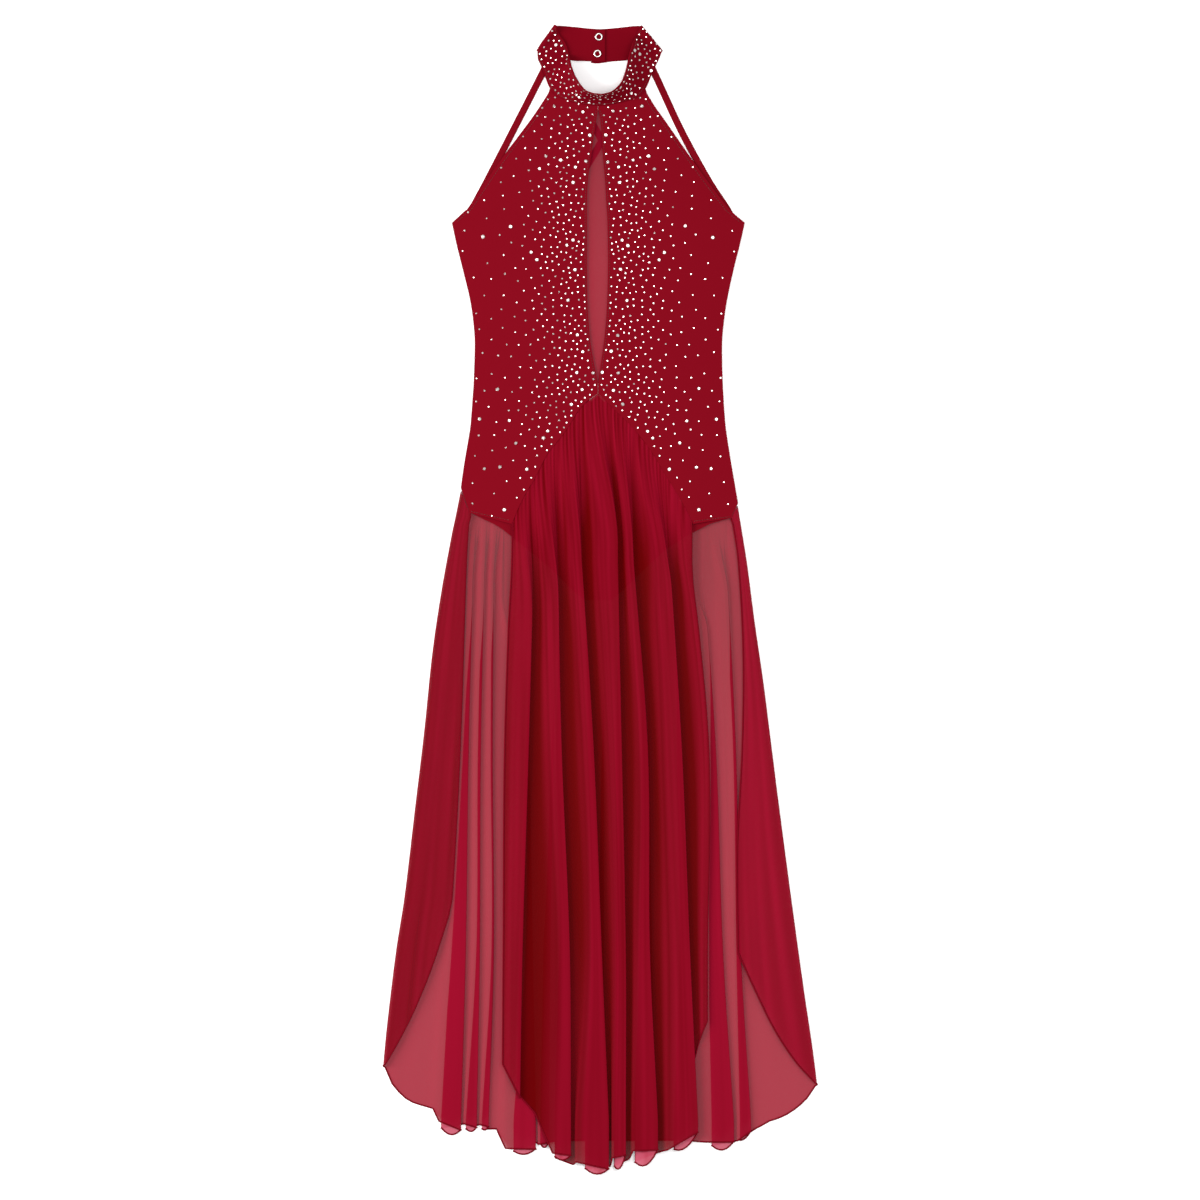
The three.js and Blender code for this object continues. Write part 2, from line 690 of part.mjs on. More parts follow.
function skirtFront() {
  const [low, high] = [FRONT_FOLD_LOW_Z, FRONT_FOLD_HIGH_Z];
  const [endSeam, cutSeam] = FRONT_END_SEAM;
  const endPlace = (t) => (y, share) => {
    const opened = smooth(0, FRONT_OPEN_SHARE, share);
    return {
      x: mix(mix(endSeam, cutSeam, t), at(FRONT_END_START, y) - FRONT_END_REACH * (1 - t), opened),
      z: mix(low, high, FRONT_END_RAISE),
      raised: clamp(RISE_AHEAD * opened),
    };
  };
  const end = { seam: endSeam, hem: FRONT_END_HEM[0], place: endPlace(0) };
  const columns = [
    ...foldColumns(FRONT_FOLDS, end, FRONT_LAP, FRONT_OPEN_SHARE, FRONT_LAP_SHARE, low, high),
    ...[0, 0.5, 1].map((t) => ({
      seamX: mix(endSeam, cutSeam, t),
      gather: GATHER_HEIGHT,
      hem: mix(FRONT_END_HEM[0], FRONT_END_HEM[1], t),
      place: endPlace(t),
    })),
  ];
  const grid = FRONT_SHARES.map((share) =>
    columns.map(({ seamX, gather, hem, place }, c) => {
      const seamY = read(V_SEAM, seamX, 1) - V_SEAM_CLEAR;
      const y = mix(seamY, hem, share);
      const { x, z, raised } = place(y, share);
      const pucker = (c % 2 ? 1 : -1) * gather * (1 - smooth(0, 0.1, share));
      const seamZ = frontHeight(seamX, seamY, hipSideX(seamY, seamX)) + pucker;
      return [x, y, mix(seamZ, z, raised)];
    }),
  );
  return wall(grid, CHIFFON_WALL);
}

// Sides of the back skirt, where it folds over to the front, and the free edges of its two flaps
const LEFT_SIDE = [
  // y, x
  [140, -173.8],
  [108.8, -180],
  [82.5, -185.6],
  [10, -198.8],
  [-66.3, -210],
  [-162.5, -220],
  [-257.5, -231.3],
  [-372.5, -245],
  [-436.3, -255],
  [-528.8, -266.3],
  [-580, -271.3],
];
const RIGHT_SIDE = [
  // y, x
  [120, 172.5],
  [106.3, 174.5],
  [48.8, 183.8],
  [-27.5, 193.8],
  [-105, 205],
  [-181.3, 214.6],
  [-257.5, 224.3],
  [-372.5, 239.5],
  [-485, 255],
  [-561.3, 266.3],
  [-606.3, 271.9],
];
const LEFT_FLAP_EDGE = [
  // y, x
  [108.3, -163.5],
  [50, -167],
  [-187.5, -175],
  [-372.5, -185],
  [-394, -189],
  [-560, -203],
];
const RIGHT_FLAP_EDGE = [
  // y, x
  [102, 164.8],
  [50, 172.5],
  [-66.3, 178.8],
  [-187.5, 177.5],
  [-312.5, 171.3],
  [-437.5, 172.5],
  [-600, 178],
];
const LEFT_FLAP_HEM = [
  // share from the free edge to the side fold, y
  [0, -394],
  [0.25, -457],
  [0.5, -507],
  [0.75, -547],
  [1, -580],
];
const RIGHT_FLAP_HEM = [
  // share from the free edge to the side fold, y
  [0, -440],
  [0.25, -487],
  [0.5, -536],
  [0.75, -575],
  [1, -603],
];
const LEFT_FLOOR_HEM = [
  // share from the side fold to the first fold, y
  [0, -586],
  [0.12, -604],
  [0.4, -624],
  [0.75, -633],
  [1, -638],
];
const RIGHT_FLOOR_HEM = [
  // share from the last fold to the side fold, y
  [0, -656],
  [0.35, -649],
  [0.6, -640],
  [0.85, -624],
  [1, -608],
];
const BACK_SHARES = [0, 0.04, 0.09, 0.16, 0.26, 0.42, 0.6, 0.78, 0.92, 1];
const SIDE_TURN_ANGLES = [90, 50, 0, -50, -90];
const TURN_HEM_DROP = 4;
const FLAP_STEPS = [0, 0.25, 0.5, 0.75];
const FLOOR_STEPS = [0.2, 0.45, 0.75];
const FLAP_DROP_START_Y = 60;
const FLAP_DROP_END_Y = 100;
// y at the seam of the side fold, of the flap's free edge and of the floor layer
const LEFT_TOPS = [132, 108.3, 137];
const RIGHT_TOPS = [114, 102, 118];
const LEFT_FLOOR_SEAM = -170;
const SIDE_OPENS_AT = 0.04;
const AFTER_LAST_EDGE = 3;
const AFTER_FOLD_STEPS = [0.3, 0.55, 0.8];

// Columns of one side: the flap from its free edge outwards, then the turn down to the floor.
function sideColumns(side, edgeTable, sideTable, [foldTop, edgeTop, floorTop], flapHem) {
  const foldHem = flapHem[flapHem.length - 1][1];
  const flapHeight = (y) =>
    mix(FLAP_Z, FRONT_HIP_Z, smooth(FLAP_DROP_START_Y, FLAP_DROP_END_Y, y));
  const outer = (y) => read(sideTable, y, 1) - (side * CHIFFON_WALL) / 2;
  const radius = (y) => (flapHeight(y) - BACK_FOLD_LOW_Z) / 2;
  const flap = FLAP_STEPS.map((t) => ({
    top: mix(edgeTop, foldTop, t),
    hem: read(flapHem, t, 1),
    place: (y) => {
      const turnStart = outer(y) - side * radius(y);
      return [mix(read(edgeTable, y, 1), turnStart, t), flapHeight(y)];
    },
  }));
  const turn = SIDE_TURN_ANGLES.map((angle) => {
    const under = clamp((90 - angle) / 180);
    return {
      top: mix(foldTop, floorTop, under),
      hem: foldHem - TURN_HEM_DROP * under,
      place: (y) => {
        const r = radius(y);
        const out = Math.cos(angle * DEGREE);
        return [
          outer(y) - side * r * (1 - out),
          BACK_FOLD_LOW_Z + r * (1 + Math.sin(angle * DEGREE)),
        ];
      },
    };
  });
  return [...flap, ...turn];
}

function skirtBack() {
  const seamBelow = (x) => read(BACK_SEAM, x, 1) - SEAM_CLEAR;
  const left = sideColumns(-1, LEFT_FLAP_EDGE, LEFT_SIDE, LEFT_TOPS, LEFT_FLAP_HEM);
  const right = sideColumns(1, RIGHT_FLAP_EDGE, RIGHT_SIDE, RIGHT_TOPS, RIGHT_FLAP_HEM);
  const floorZ = BACK_FOLD_LOW_Z;
  const turned = (y, table, side) =>
    read(table, y, 1) - side * (CHIFFON_WALL / 2 + (FLAP_Z - BACK_FOLD_LOW_Z) / 2);
  const openedAt = (share) => smooth(SIDE_OPENS_AT, SIDE_OPENS_AT + BACK_OPEN_SHARE, share);
  const floorColumn = (seamX, hem, foldX) => ({
    seamX,
    gather: 0,
    hem,
    place: (y, share) => ({ x: mix(seamX, foldX(y), openedAt(share)), z: floorZ, raised: 0 }),
  });
  const lastEdge = BACK_FOLDS[BACK_FOLDS.length - 1].edge;
  const [endSeam, cutSeam] = BACK_END_SEAM;
  const afterFolds = (t) => (y) => mix(at(lastEdge, y) + AFTER_LAST_EDGE, turned(y, RIGHT_SIDE, 1), t);
  const end = {
    seam: endSeam,
    hem: RIGHT_FLOOR_HEM[0][1],
    place: floorColumn(endSeam, 0, afterFolds(0.2)).place,
  };
  const [low, high] = [floorZ, BACK_FOLD_HIGH_Z];
  const middle = [
    ...FLOOR_STEPS.map((t) =>
      floorColumn(mix(LEFT_FLOOR_SEAM, BACK_FOLDS[0].seam, t), read(LEFT_FLOOR_HEM, t, 1), (y) =>
        mix(turned(y, LEFT_SIDE, -1), at(BACK_FOLDS[0].start, y), t),
      ),
    ),
    ...foldColumns(BACK_FOLDS, end, BACK_LAP, BACK_OPEN_SHARE, BACK_LAP_SHARE, low, high),
    ...AFTER_FOLD_STEPS.map((t) =>
      floorColumn(mix(endSeam, cutSeam, t), read(RIGHT_FLOOR_HEM, t, 1), afterFolds(t)),
    ),
  ];

  const grid = BACK_SHARES.map((share) => {
    const fromFlap = ({ top, hem, place }) => {
      const y = mix(top, hem, share);
      const [x, z] = place(y);
      return [x, y, z];
    };
    const fromFloor = ({ seamX, gather, hem, place }, c) => {
      const y = mix(seamBelow(seamX), hem, share);
      const { x, z, raised } = place(y, share);
      const pucker = (c % 2) * 2 * gather * (1 - smooth(0, 0.1, share));
      return [x, y, mix(floorZ + pucker, z, raised)];
    };
    return [
      ...left.map(fromFlap),
      ...middle.map(fromFloor),
      ...[...right].reverse().map(fromFlap),
    ];
  });
  return wall(grid, CHIFFON_WALL);
}

const CHIFFON = { color: "#a8142f", roughness: 0.75, metalness: 0 };
const JERSEY = { color: "#93141f", roughness: 0.7, metalness: 0 };
const SHEER = { color: "#b04a58", roughness: 0.8, metalness: 0 };
const STEEL = { color: "#d5d2d0", roughness: 0.25, metalness: 1 };

const dress = new THREE.Group();
// Puts the origin under the middle of the laid dress.
dress.position.set(-0.2, -1.2, 0);

function add(name, geometry, finish) {
  const mesh = new THREE.Mesh(geometry, new THREE.MeshStandardMaterial(finish));
  mesh.name = name;
  dress.add(mesh);
}

add("collar", collar(), JERSEY);
add("snap_upper", snapRing(SNAP_UPPER), STEEL);
add("snap_lower", snapRing(SNAP_LOWER), STEEL);
add("bodice_front_left", bodiceFront(LEFT_ROWS), JERSEY);
add("bodice_front_right", bodiceFront(RIGHT_ROWS), JERSEY);
add("keyhole_mesh", keyholeMesh(), SHEER);
add("bodice_back", bodiceBack(), JERSEY);
add("brief_back", flatPanel(BRIEF_BACK_OUTLINE, CHIFFON_WALL, BRIEF_BACK_Z), JERSEY);
add("brief_front", flatPanel(BRIEF_FRONT_OUTLINE, CHIFFON_WALL, BRIEF_FRONT_Z), JERSEY);
add("strap_outer_left", strap(OUTER_STRAP_LEFT), JERSEY);
add("strap_outer_right", strap(OUTER_STRAP_RIGHT), JERSEY);
add("strap_cross_left", strap(CROSS_STRAP_LEFT), JERSEY);
add("strap_cross_right", strap(CROSS_STRAP_RIGHT), JERSEY);
add("skirt_front", skirtFront(), CHIFFON);
add("skirt_back", skirtBack(), CHIFFON);

export default dress;
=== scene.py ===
"""A halter-neck lyrical dance dress laid flat on its back, front up, seen straight from above.

Tables are in millimetres and turned to metres by MM as the meshes are made. The frame is the CAD's:
+Y from the hem to the collar, +Z from the surface up to the front of the dress.
"""

import math
import random

import bpy
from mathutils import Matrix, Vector, noise


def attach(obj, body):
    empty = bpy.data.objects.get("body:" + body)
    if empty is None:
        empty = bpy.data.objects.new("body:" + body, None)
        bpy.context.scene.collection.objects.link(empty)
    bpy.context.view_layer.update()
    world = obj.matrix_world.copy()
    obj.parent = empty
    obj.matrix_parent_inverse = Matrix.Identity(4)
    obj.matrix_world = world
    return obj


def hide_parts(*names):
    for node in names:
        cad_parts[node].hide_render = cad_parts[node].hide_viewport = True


MM = 0.001
ORIGIN = (-0.2, -1.2)
SEED = 11

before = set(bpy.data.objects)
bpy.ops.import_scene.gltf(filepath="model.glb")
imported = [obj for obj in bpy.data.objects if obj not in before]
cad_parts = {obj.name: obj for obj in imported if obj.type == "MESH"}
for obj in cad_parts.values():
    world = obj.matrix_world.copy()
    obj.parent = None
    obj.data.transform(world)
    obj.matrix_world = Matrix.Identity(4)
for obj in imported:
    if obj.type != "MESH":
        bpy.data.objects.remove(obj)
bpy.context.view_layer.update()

# Walls and heights of the layers, each the middle of its wall
CHIFFON_WALL = 1.0
JERSEY_WALL = 1.2
COLLAR_WALL = 1.5
MESH_WALL = 1.0
COLLAR_WIDTH = 40.0
STRAP_WIDTH = 8.8
STRAP_WALL = 1.2
CENTRE_X = -2.5
FRONT_SIDE_Z = 2.1
FRONT_HIP_Z = 4.4
CHEST_CROWN = 5.0
BRIEF_BACK_Z = 2.9
BRIEF_FRONT_Z = 4.4
BACK_FOLD_LOW_Z = 0.5
BACK_FOLD_HIGH_Z = 3.7
FRONT_FOLD_LOW_Z = 5.6
FRONT_FOLD_HIGH_Z = 11.0
FLAP_Z = 5.2
FOLD_RADIUS = 0.8
COLLAR_LAP_Z = 2.55
# Clear space between two layers that lie on each other
SEAM_GAP = 0.3


def mix(a, b, t):
    return a + (b - a) * t


def clamp(value, low=0.0, high=1.0):
    return min(high, max(low, value))


def smooth(start, end, value):
    t = clamp((value - start) / (end - start))
    return t * t * (3 - 2 * t)


def read(table, key):
    """Reads a table sorted by its first column, either way up, and holds its end values beyond it."""
    up = table[-1][0] > table[0][0]
    for a, b in zip(table, table[1:]):
        if key <= b[0] if up else key >= b[0]:
            return mix(a[1], b[1], clamp((key - a[0]) / (b[0] - a[0])))
    return table[-1][1]


def cubic(a, b, slope_a, slope_b, t):
    """A smooth way from a to b with a slope given at each end."""
    t2, t3 = t * t, t * t * t
    start = (2 * t3 - 3 * t2 + 1) * a + (t3 - 2 * t2 + t) * slope_a
    return start + (3 * t2 - 2 * t3) * b + (t3 - t2) * slope_b


def eased(table, key):
    """Reads a table as a smooth curve through its values."""
    if (table[-1][0] > table[0][0]) != (key > table[0][0]):
        return table[0][1]
    for i in range(len(table) - 1):
        a, b = table[i], table[i + 1]
        inside = a[0] <= key <= b[0] or b[0] <= key <= a[0]
        if not inside:
            continue
        before = table[max(i - 1, 0)]
        after = table[min(i + 2, len(table) - 1)]
        span = b[0] - a[0]
        t = (key - a[0]) / span
        slope_a = (b[1] - before[1]) / (b[0] - before[0]) * span
        slope_b = (after[1] - a[1]) / (after[0] - a[0]) * span
        return cubic(a[1], b[1], slope_a, slope_b, t)
    return table[-1][1]


def rounded(points, steps, corners=()):
    """Points along a smooth curve through the given ones, with sharp turns kept at the corner indices."""
    size = len(points[0])
    out = []
    for i in range(len(points) - 1):
        a, b = points[i], points[i + 1]
        before = a if i == 0 or i in corners else points[i - 1]
        after = b if i + 2 >= len(points) or i + 1 in corners else points[i + 2]
        slopes = [((b[c] - before[c]) / 2, (after[c] - a[c]) / 2) for c in range(size)]
        for k in range(steps):
            out.append(tuple(cubic(a[c], b[c], *slopes[c], k / steps) for c in range(size)))
    out.append(tuple(points[-1]))
    return out


def wander(x, y, size, width, length, seed):
    """A slow wander of up to about size, much the same for points close together."""
    return size * noise.noise(Vector((x / width, y / length, seed)))


def to_metres(x, y, z):
    return Vector(((x + ORIGIN[0]) * MM, (y + ORIGIN[1]) * MM, z * MM))


# Materials
SRGB_KNEE = 0.04045


def linear(hex_colour):
    """An sRGB hex colour as linear red, green, blue and 1."""
    parts = [int(hex_colour[i : i + 2], 16) / 255 for i in (1, 3, 5)]
    return (*((c / 12.92 if c <= SRGB_KNEE else ((c + 0.055) / 1.055) ** 2.4) for c in parts), 1)


def new_material(name, colour, roughness, **sockets):
    material = bpy.data.materials.new(name)
    material.use_nodes = True
    shader = material.node_tree.nodes["Principled BSDF"]
    shader.inputs["Base Color"].default_value = linear(colour)
    shader.inputs["Roughness"].default_value = roughness
    for socket, value in sockets.items():
        shader.inputs[socket.replace("_", " ")].default_value = value
    material.diffuse_color = linear(colour)
    return material


def add_knit(material, cell, strength, distance):
    """A fine bump of knitted stitches, cell metres apart."""
    tree = material.node_tree
    place = tree.nodes.new("ShaderNodeTexCoord")
    yarns = tree.nodes.new("ShaderNodeTexVoronoi")
    yarns.inputs["Scale"].default_value = 1 / cell
    bump = tree.nodes.new("ShaderNodeBump")
    bump.inputs["Strength"].default_value = strength
    bump.inputs["Distance"].default_value = distance
    tree.links.new(place.outputs["Object"], yarns.inputs["Vector"])
    tree.links.new(yarns.outputs["Distance"], bump.inputs["Height"])
    tree.links.new(bump.outputs["Normal"], tree.nodes["Principled BSDF"].inputs["Normal"])


def add_depth(material, single_painted_light, colour, painted_shade):
    """Colours cloth by the mesh's depth attribute: a painted light colour at 0, its own doubled colour at
    DOUBLED, then darker to a painted shade at 1.
    """
    tree = material.node_tree
    depth = tree.nodes.new("ShaderNodeAttribute")
    depth.attribute_name = "depth"
    ramp = tree.nodes.new("ShaderNodeValToRGB")
    ramp.color_ramp.elements[0].color = linear(single_painted_light)
    ramp.color_ramp.elements[1].color = linear(painted_shade)
    ramp.color_ramp.elements.new(DOUBLED).color = linear(colour)
    tree.links.new(depth.outputs["Fac"], ramp.inputs["Fac"])
    tree.links.new(ramp.outputs["Color"], tree.nodes["Principled BSDF"].inputs["Base Color"])


# Depth at which the cloth lies doubled, out of the shade
DOUBLED = 0.15
CHIFFON_COLOUR = "#930a28"
# Darkest colour, where folds lie many layers deep and in shade: partly the layers' own darkness, partly
# painted shade
CHIFFON_PAINTED_SHADE = "#5c0002"
# A single layer's colour, painted lighter: painted light on the laps at the hem
CHIFFON_SINGLE_PAINTED_LIGHT = "#b34c60"
MESH_COLOUR = "#8a0a23"
MESH_PAINTED_SHADE = "#5c0212"
CLOTH_SHINE = 0.02


def cloth(name, colour, roughness, **sockets):
    return new_material(name, colour, roughness, Specular_IOR_Level=CLOTH_SHINE, **sockets)


# Polyester chiffon, plain woven of twisted yarn: sheer, matt, with no shine on its folds
CHIFFON = cloth("polyester_chiffon_sheer", CHIFFON_COLOUR, 0.75, Alpha=0.85)
# The front panel of the same chiffon, gathered closer, so that less shows through it
CLOSE_CHIFFON = cloth("polyester_chiffon_gathered", CHIFFON_COLOUR, 0.75, Alpha=0.92)
for chiffon in (CHIFFON, CLOSE_CHIFFON):
    add_depth(chiffon, CHIFFON_SINGLE_PAINTED_LIGHT, CHIFFON_COLOUR, CHIFFON_PAINTED_SHADE)
# The same chiffon rolled up three layers thick in its hem: nearly opaque and darker
HEM = cloth("polyester_chiffon_rolled_hem", "#6a0414", 0.75)
# Nylon and elastane jersey, knitted fine and dyed, matt
JERSEY = cloth("nylon_elastane_jersey_matt", "#700414", 0.66)
# The same jersey on the collar, which reads a little darker and cooler
COLLAR_JERSEY = cloth("nylon_elastane_jersey_collar", "#690211", 0.7)
# Width of one knitted stitch in metres, and how strong and how deep its bump is
KNIT = (0.0009, 0.12, 0.0002)
for jersey in (JERSEY, COLLAR_JERSEY):
    add_knit(jersey, *KNIT)
# Fine stretch mesh, knitted open
SHEER = cloth("nylon_stretch_mesh_sheer", MESH_COLOUR, 0.8, Alpha=0.87)
add_depth(SHEER, MESH_COLOUR, MESH_COLOUR, MESH_PAINTED_SHADE)
# Folded stretch binding, stitched along its middle
BINDING = cloth("folded_stretch_binding", "#6c0412", 0.6)
# Polyester sewing thread in the dress colour
THREAD = new_material("polyester_thread", "#560510", 0.55)
# Foil-backed lead-free crystal: bright facets
CRYSTAL = new_material("foil_backed_crystal_cut", "#f6eeea", 0.12, Metallic=1.0)
# Nickel-plated brass ring, pressed and polished
NICKEL = new_material("nickel_plated_brass_polished", "#d0cecb", 0.22, Metallic=1.0)


# Mesh makers
RIM_ANGLE = 50
# A path counts as upright where its side vector is shorter than this
UPRIGHT = 0.05


def mesh_object(name, verts, faces, material, depth=None, shade=True):
    mesh = bpy.data.meshes.new(name)
    mesh.from_pydata([tuple(to_metres(*v)) for v in verts], [], faces)
    mesh.materials.append(material)
    if depth is not None:
        layer = mesh.attributes.new("depth", "FLOAT", "POINT")
        layer.data.foreach_set("value", depth)
    if shade:
        mesh.shade_smooth()
    mesh.update()
    thing = bpy.data.objects.new(name, mesh)
    bpy.context.scene.collection.objects.link(thing)
    return thing


def grid_faces(rows, columns):
    faces = []
    for r in range(rows - 1):
        for c in range(columns - 1):
            at = r * columns + c
            faces.append((at, at + columns, at + columns + 1, at + 1))
    return faces


def ring_faces(first, rings, sides):
    """Faces between rings of points that follow each other, and one cap at each end."""
    faces = []
    for a in range(first, first + (rings - 1) * sides, sides):
        for k in range(sides):
            b = (k + 1) % sides
            faces.append((a + k, a + b, a + b + sides, a + k + sides))
    last = first + (rings - 1) * sides
    faces.append(tuple(first + k for k in reversed(range(sides))))
    faces.append(tuple(last + k for k in range(sides)))
    return faces


def grid_normals(grid):
    rows, columns = len(grid), len(grid[0])
    point = [[Vector(p) for p in row] for row in grid]
    out = []
    for r in range(rows):
        line = []
        for c in range(columns):
            across = point[r][min(c + 1, columns - 1)] - point[r][max(c - 1, 0)]
            down = point[min(r + 1, rows - 1)][c] - point[max(r - 1, 0)][c]
            line.append(down.cross(across).normalized())
        out.append(line)
    return out


def sheet_object(name, grid, material, depth):
    """An open surface through a grid of points, for the thin sheer cloth."""
    verts = [p for row in grid for p in row]
    depths = [d for row in depth for d in row]
    return mesh_object(name, verts, grid_faces(len(grid), len(grid[0])), material, depths)


def wall_object(name, grid, thickness, material):
    """A closed wall around a grid of middle points, with a crisp rim."""
    rows, columns = len(grid), len(grid[0])
    normals = grid_normals(grid)
    verts = []
    for side in (1, -1):
        for r in range(rows):
            for c in range(columns):
                place = Vector(grid[r][c]) + normals[r][c] * (side * thickness / 2)
                verts.append(tuple(place))
    under = rows * columns
    faces = grid_faces(rows, columns)
    faces += [tuple(under + i for i in reversed(face)) for face in grid_faces(rows, columns)]
    for c in range(columns - 1):
        low = (rows - 1) * columns + c
        faces.append((c, c + 1, under + c + 1, under + c))
        faces.append((low + 1, low, under + low, under + low + 1))
    for r in range(rows - 1):
        left = r * columns
        right = left + columns - 1
        faces.append((left + columns, left, under + left, under + left + columns))
        faces.append((right, right + columns, under + right + columns, under + right))
    thing = mesh_object(name, verts, faces, material)
    keep_rim_crisp(thing)
    return thing


def keep_rim_crisp(thing):
    """Smooths across the surface and keeps the rim's edge crisp."""
    thing.data.set_sharp_from_angle(angle=math.radians(RIM_ANGLE))


def tube_object(name, paths, radius, material, sides):
    """Round cords along one or more paths of points, each closed at its ends."""
    verts, faces = [], []
    for path in paths:
        first = len(verts)
        points = [Vector(p) for p in path]
        for i, point in enumerate(points):
            along = (points[min(i + 1, len(points) - 1)] - points[max(i - 1, 0)]).normalized()
            side = along.cross(Vector((0, 0, 1)))
            side = side.normalized() if side.length > UPRIGHT else Vector((1, 0, 0))
            up = side.cross(along).normalized()
            for k in range(sides):
                turn = 2 * math.pi * k / sides
                verts.append(tuple(point + (side * math.cos(turn) + up * math.sin(turn)) * radius))
        faces += ring_faces(first, len(points), sides)
    return mesh_object(name, verts, faces, material)


# Height of the bodice front: low at the side seams, crowned towards the centre front, and raised
# over the brief between these two heights
HIP_RISE = (138, 178)
CROWN = [
    # y, crown
    (640, 1.5),
    (600, 3),
    (470, CHEST_CROWN),
    (95, CHEST_CROWN),
]


def front_height(x, y, side_x):
    share = clamp(abs(x - CENTRE_X) / abs(side_x - CENTRE_X))
    side = mix(FRONT_HIP_Z, FRONT_SIDE_Z, smooth(*HIP_RISE, y))
    return side + read(CROWN, y) * (1 - share * share)


NECKLINE = [
    # x, y
    (-62.4, 640),
    (-57.6, 633.5),
    (-43.5, 625.5),
    (-25.6, 620.3),
    (-2.5, 617.8),
    (18, 620.3),
    (37.3, 625.5),
    (52.6, 633),
    (56.8, 639),
]

LEFT_ROWS = [
    # side x, side y, inner x, inner y
    (-62.4, 636.8, -2.7, 615.6),
    (-73.8, 618.8, -2.7, 611.5),
    (-87.5, 598.8, -4.8, 598.8),
    (-117.5, 558.8, -10, 562.5),
    (-141.3, 525, -15, 525),
    (-163.8, 491.3, -16.3, 493.8),
    (-169.6, 485.5, -16.3, 484),
    (-185, 471.3, -16.3, 470),
    (-178.8, 442.5, -16.3, 441),
    (-171.9, 415, -16.3, 412.5),
    (-161.8, 372.5, -15.6, 371),
    (-157, 333.8, -13.1, 333.8),
    (-156.6, 308.8, -10, 308.8),
    (-157.9, 270, -2.7, 271),
    (-158.8, 257.5, -2.7, 258),
    (-160.4, 235, -23.8, 240.6),
    (-162.5, 212.5, -43.8, 210),
    (-169.1, 173.8, -65.4, 182.5),
    (-172.5, 150, -82.5, 150),
    (-173.8, 140, -91.3, 136),
    (-167.5, 122.5, -101.9, 115),
    (-162.5, 108.8, -110, 95),
]

RIGHT_ROWS = [
    # side x, side y, inner x, inner y
    (56.8, 636, -2.3, 615.6),
    (68.8, 616.3, -2.3, 611.5),
    (81.3, 598.8, 0.8, 598.8),
    (110, 557.5, 3.1, 561),
    (135, 522.5, 6.3, 525),
    (160, 490, 8.1, 493.8),
    (167.5, 482.5, 9, 482),
    (181, 471.3, 9.4, 470),
    (174.4, 442.5, 10, 441),
    (167.5, 415, 10, 412.5),
    (158.4, 372.5, 8.8, 369),
    (153.4, 333.8, 6.3, 333.8),
    (152.5, 308.8, 3.1, 308.8),
    (153.4, 270, -2.3, 271),
    (154.1, 257.5, -2.3, 258),
    (155.4, 235, 16.9, 238.8),
    (157.5, 212.5, 37.5, 218.8),
    (162.5, 180, 61.3, 190),
    (167, 152.5, 78.8, 161.3),
    (172.5, 120.5, 98.8, 128.8),
    (168, 112.5, 108.1, 112.5),
    (163.8, 102.5, 116.3, 95),
]
UNDERARM_ROW = 7
KEYHOLE_TOP_ROW = 1
KEYHOLE_END_ROW = 13
V_START_ROW = 14
LEG_ROW = 19
ROW_STEPS = 4
FRONT_COLUMNS = 22
# Slack in the jersey as it lies: height, width, length and noise seed
SLACK = (0.45, 55, 85, 3.7)
# Shares across a front between which the slack is whole; it fades towards both edges
SLACK_START = 0.12
SLACK_END = 0.9


def fine_rows(rows):
    """The rows of a bodice front along its two edges, each a smooth curve with its corners kept."""
    sides = rounded([(r[0], r[1]) for r in rows], ROW_STEPS, (UNDERARM_ROW, LEG_ROW))
    inner_corners = (KEYHOLE_TOP_ROW, KEYHOLE_END_ROW, V_START_ROW)
    inner = rounded([(r[2], r[3]) for r in rows], ROW_STEPS, inner_corners)
    return [(*a, *b) for a, b in zip(sides, inner)]


def bodice_grid(rows):
    """The middle surface of one front, row by row from the neck down."""
    grid = []
    for r, (side_x, side_y, inner_x, inner_y) in enumerate(fine_rows(rows)):
        line = []
        for c in range(FRONT_COLUMNS + 1):
            u = c / FRONT_COLUMNS
            x = mix(side_x, inner_x, u)
            y = eased(NECKLINE, x) if r == 0 else mix(side_y, inner_y, u)
            fade = smooth(0, SLACK_START, u) * smooth(1, SLACK_END, u)
            line.append((x, y, front_height(x, y, side_x) + wander(x, y, *SLACK) * fade))
        grid.append(line[::-1] if side_x > inner_x else line)
    return grid


left_grid = bodice_grid(LEFT_ROWS)
right_grid = bodice_grid(RIGHT_ROWS)
bodice_left = wall_object("bodice_left_jersey", left_grid, JERSEY_WALL, JERSEY)
bodice_right = wall_object("bodice_right_jersey", right_grid, JERSEY_WALL, JERSEY)

# Sheer insert behind the keyhole
MESH_MARGIN = 6
MESH_CLEAR = 0.4
MESH_DROP = JERSEY_WALL / 2 + MESH_WALL / 2 + MESH_CLEAR
MESH_COLUMNS = 12
MESH_SHADE = [
    # y, depth of painted shade towards the crossed straps and the neck
    (420, 0),
    (520, 0.2),
    (560, 0.45),
    (600, 0.4),
]


def keyhole_grid():
    """The insert behind the keyhole, a margin wider than the opening on each side."""
    grid = []
    left, right = fine_rows(LEFT_ROWS), fine_rows(RIGHT_ROWS)
    for r in range(KEYHOLE_TOP_ROW * ROW_STEPS, KEYHOLE_END_ROW * ROW_STEPS + 1):
        line = []
        for c in range(MESH_COLUMNS + 1):
            x = mix(left[r][2] - MESH_MARGIN, right[r][2] + MESH_MARGIN, c / MESH_COLUMNS)
            y = (left[r][3] + right[r][3]) / 2
            side_x = left[r][0] if x < CENTRE_X else right[r][0]
            line.append((x, y, front_height(x, y, side_x) - MESH_DROP))
        grid.append(line)
    return grid


mesh_grid = keyhole_grid()
mesh_depth = [[mix(DOUBLED, 1, read(MESH_SHADE, point[1])) for point in row] for row in mesh_grid]
keyhole = sheet_object("keyhole_stretch_mesh", mesh_grid, SHEER, mesh_depth)

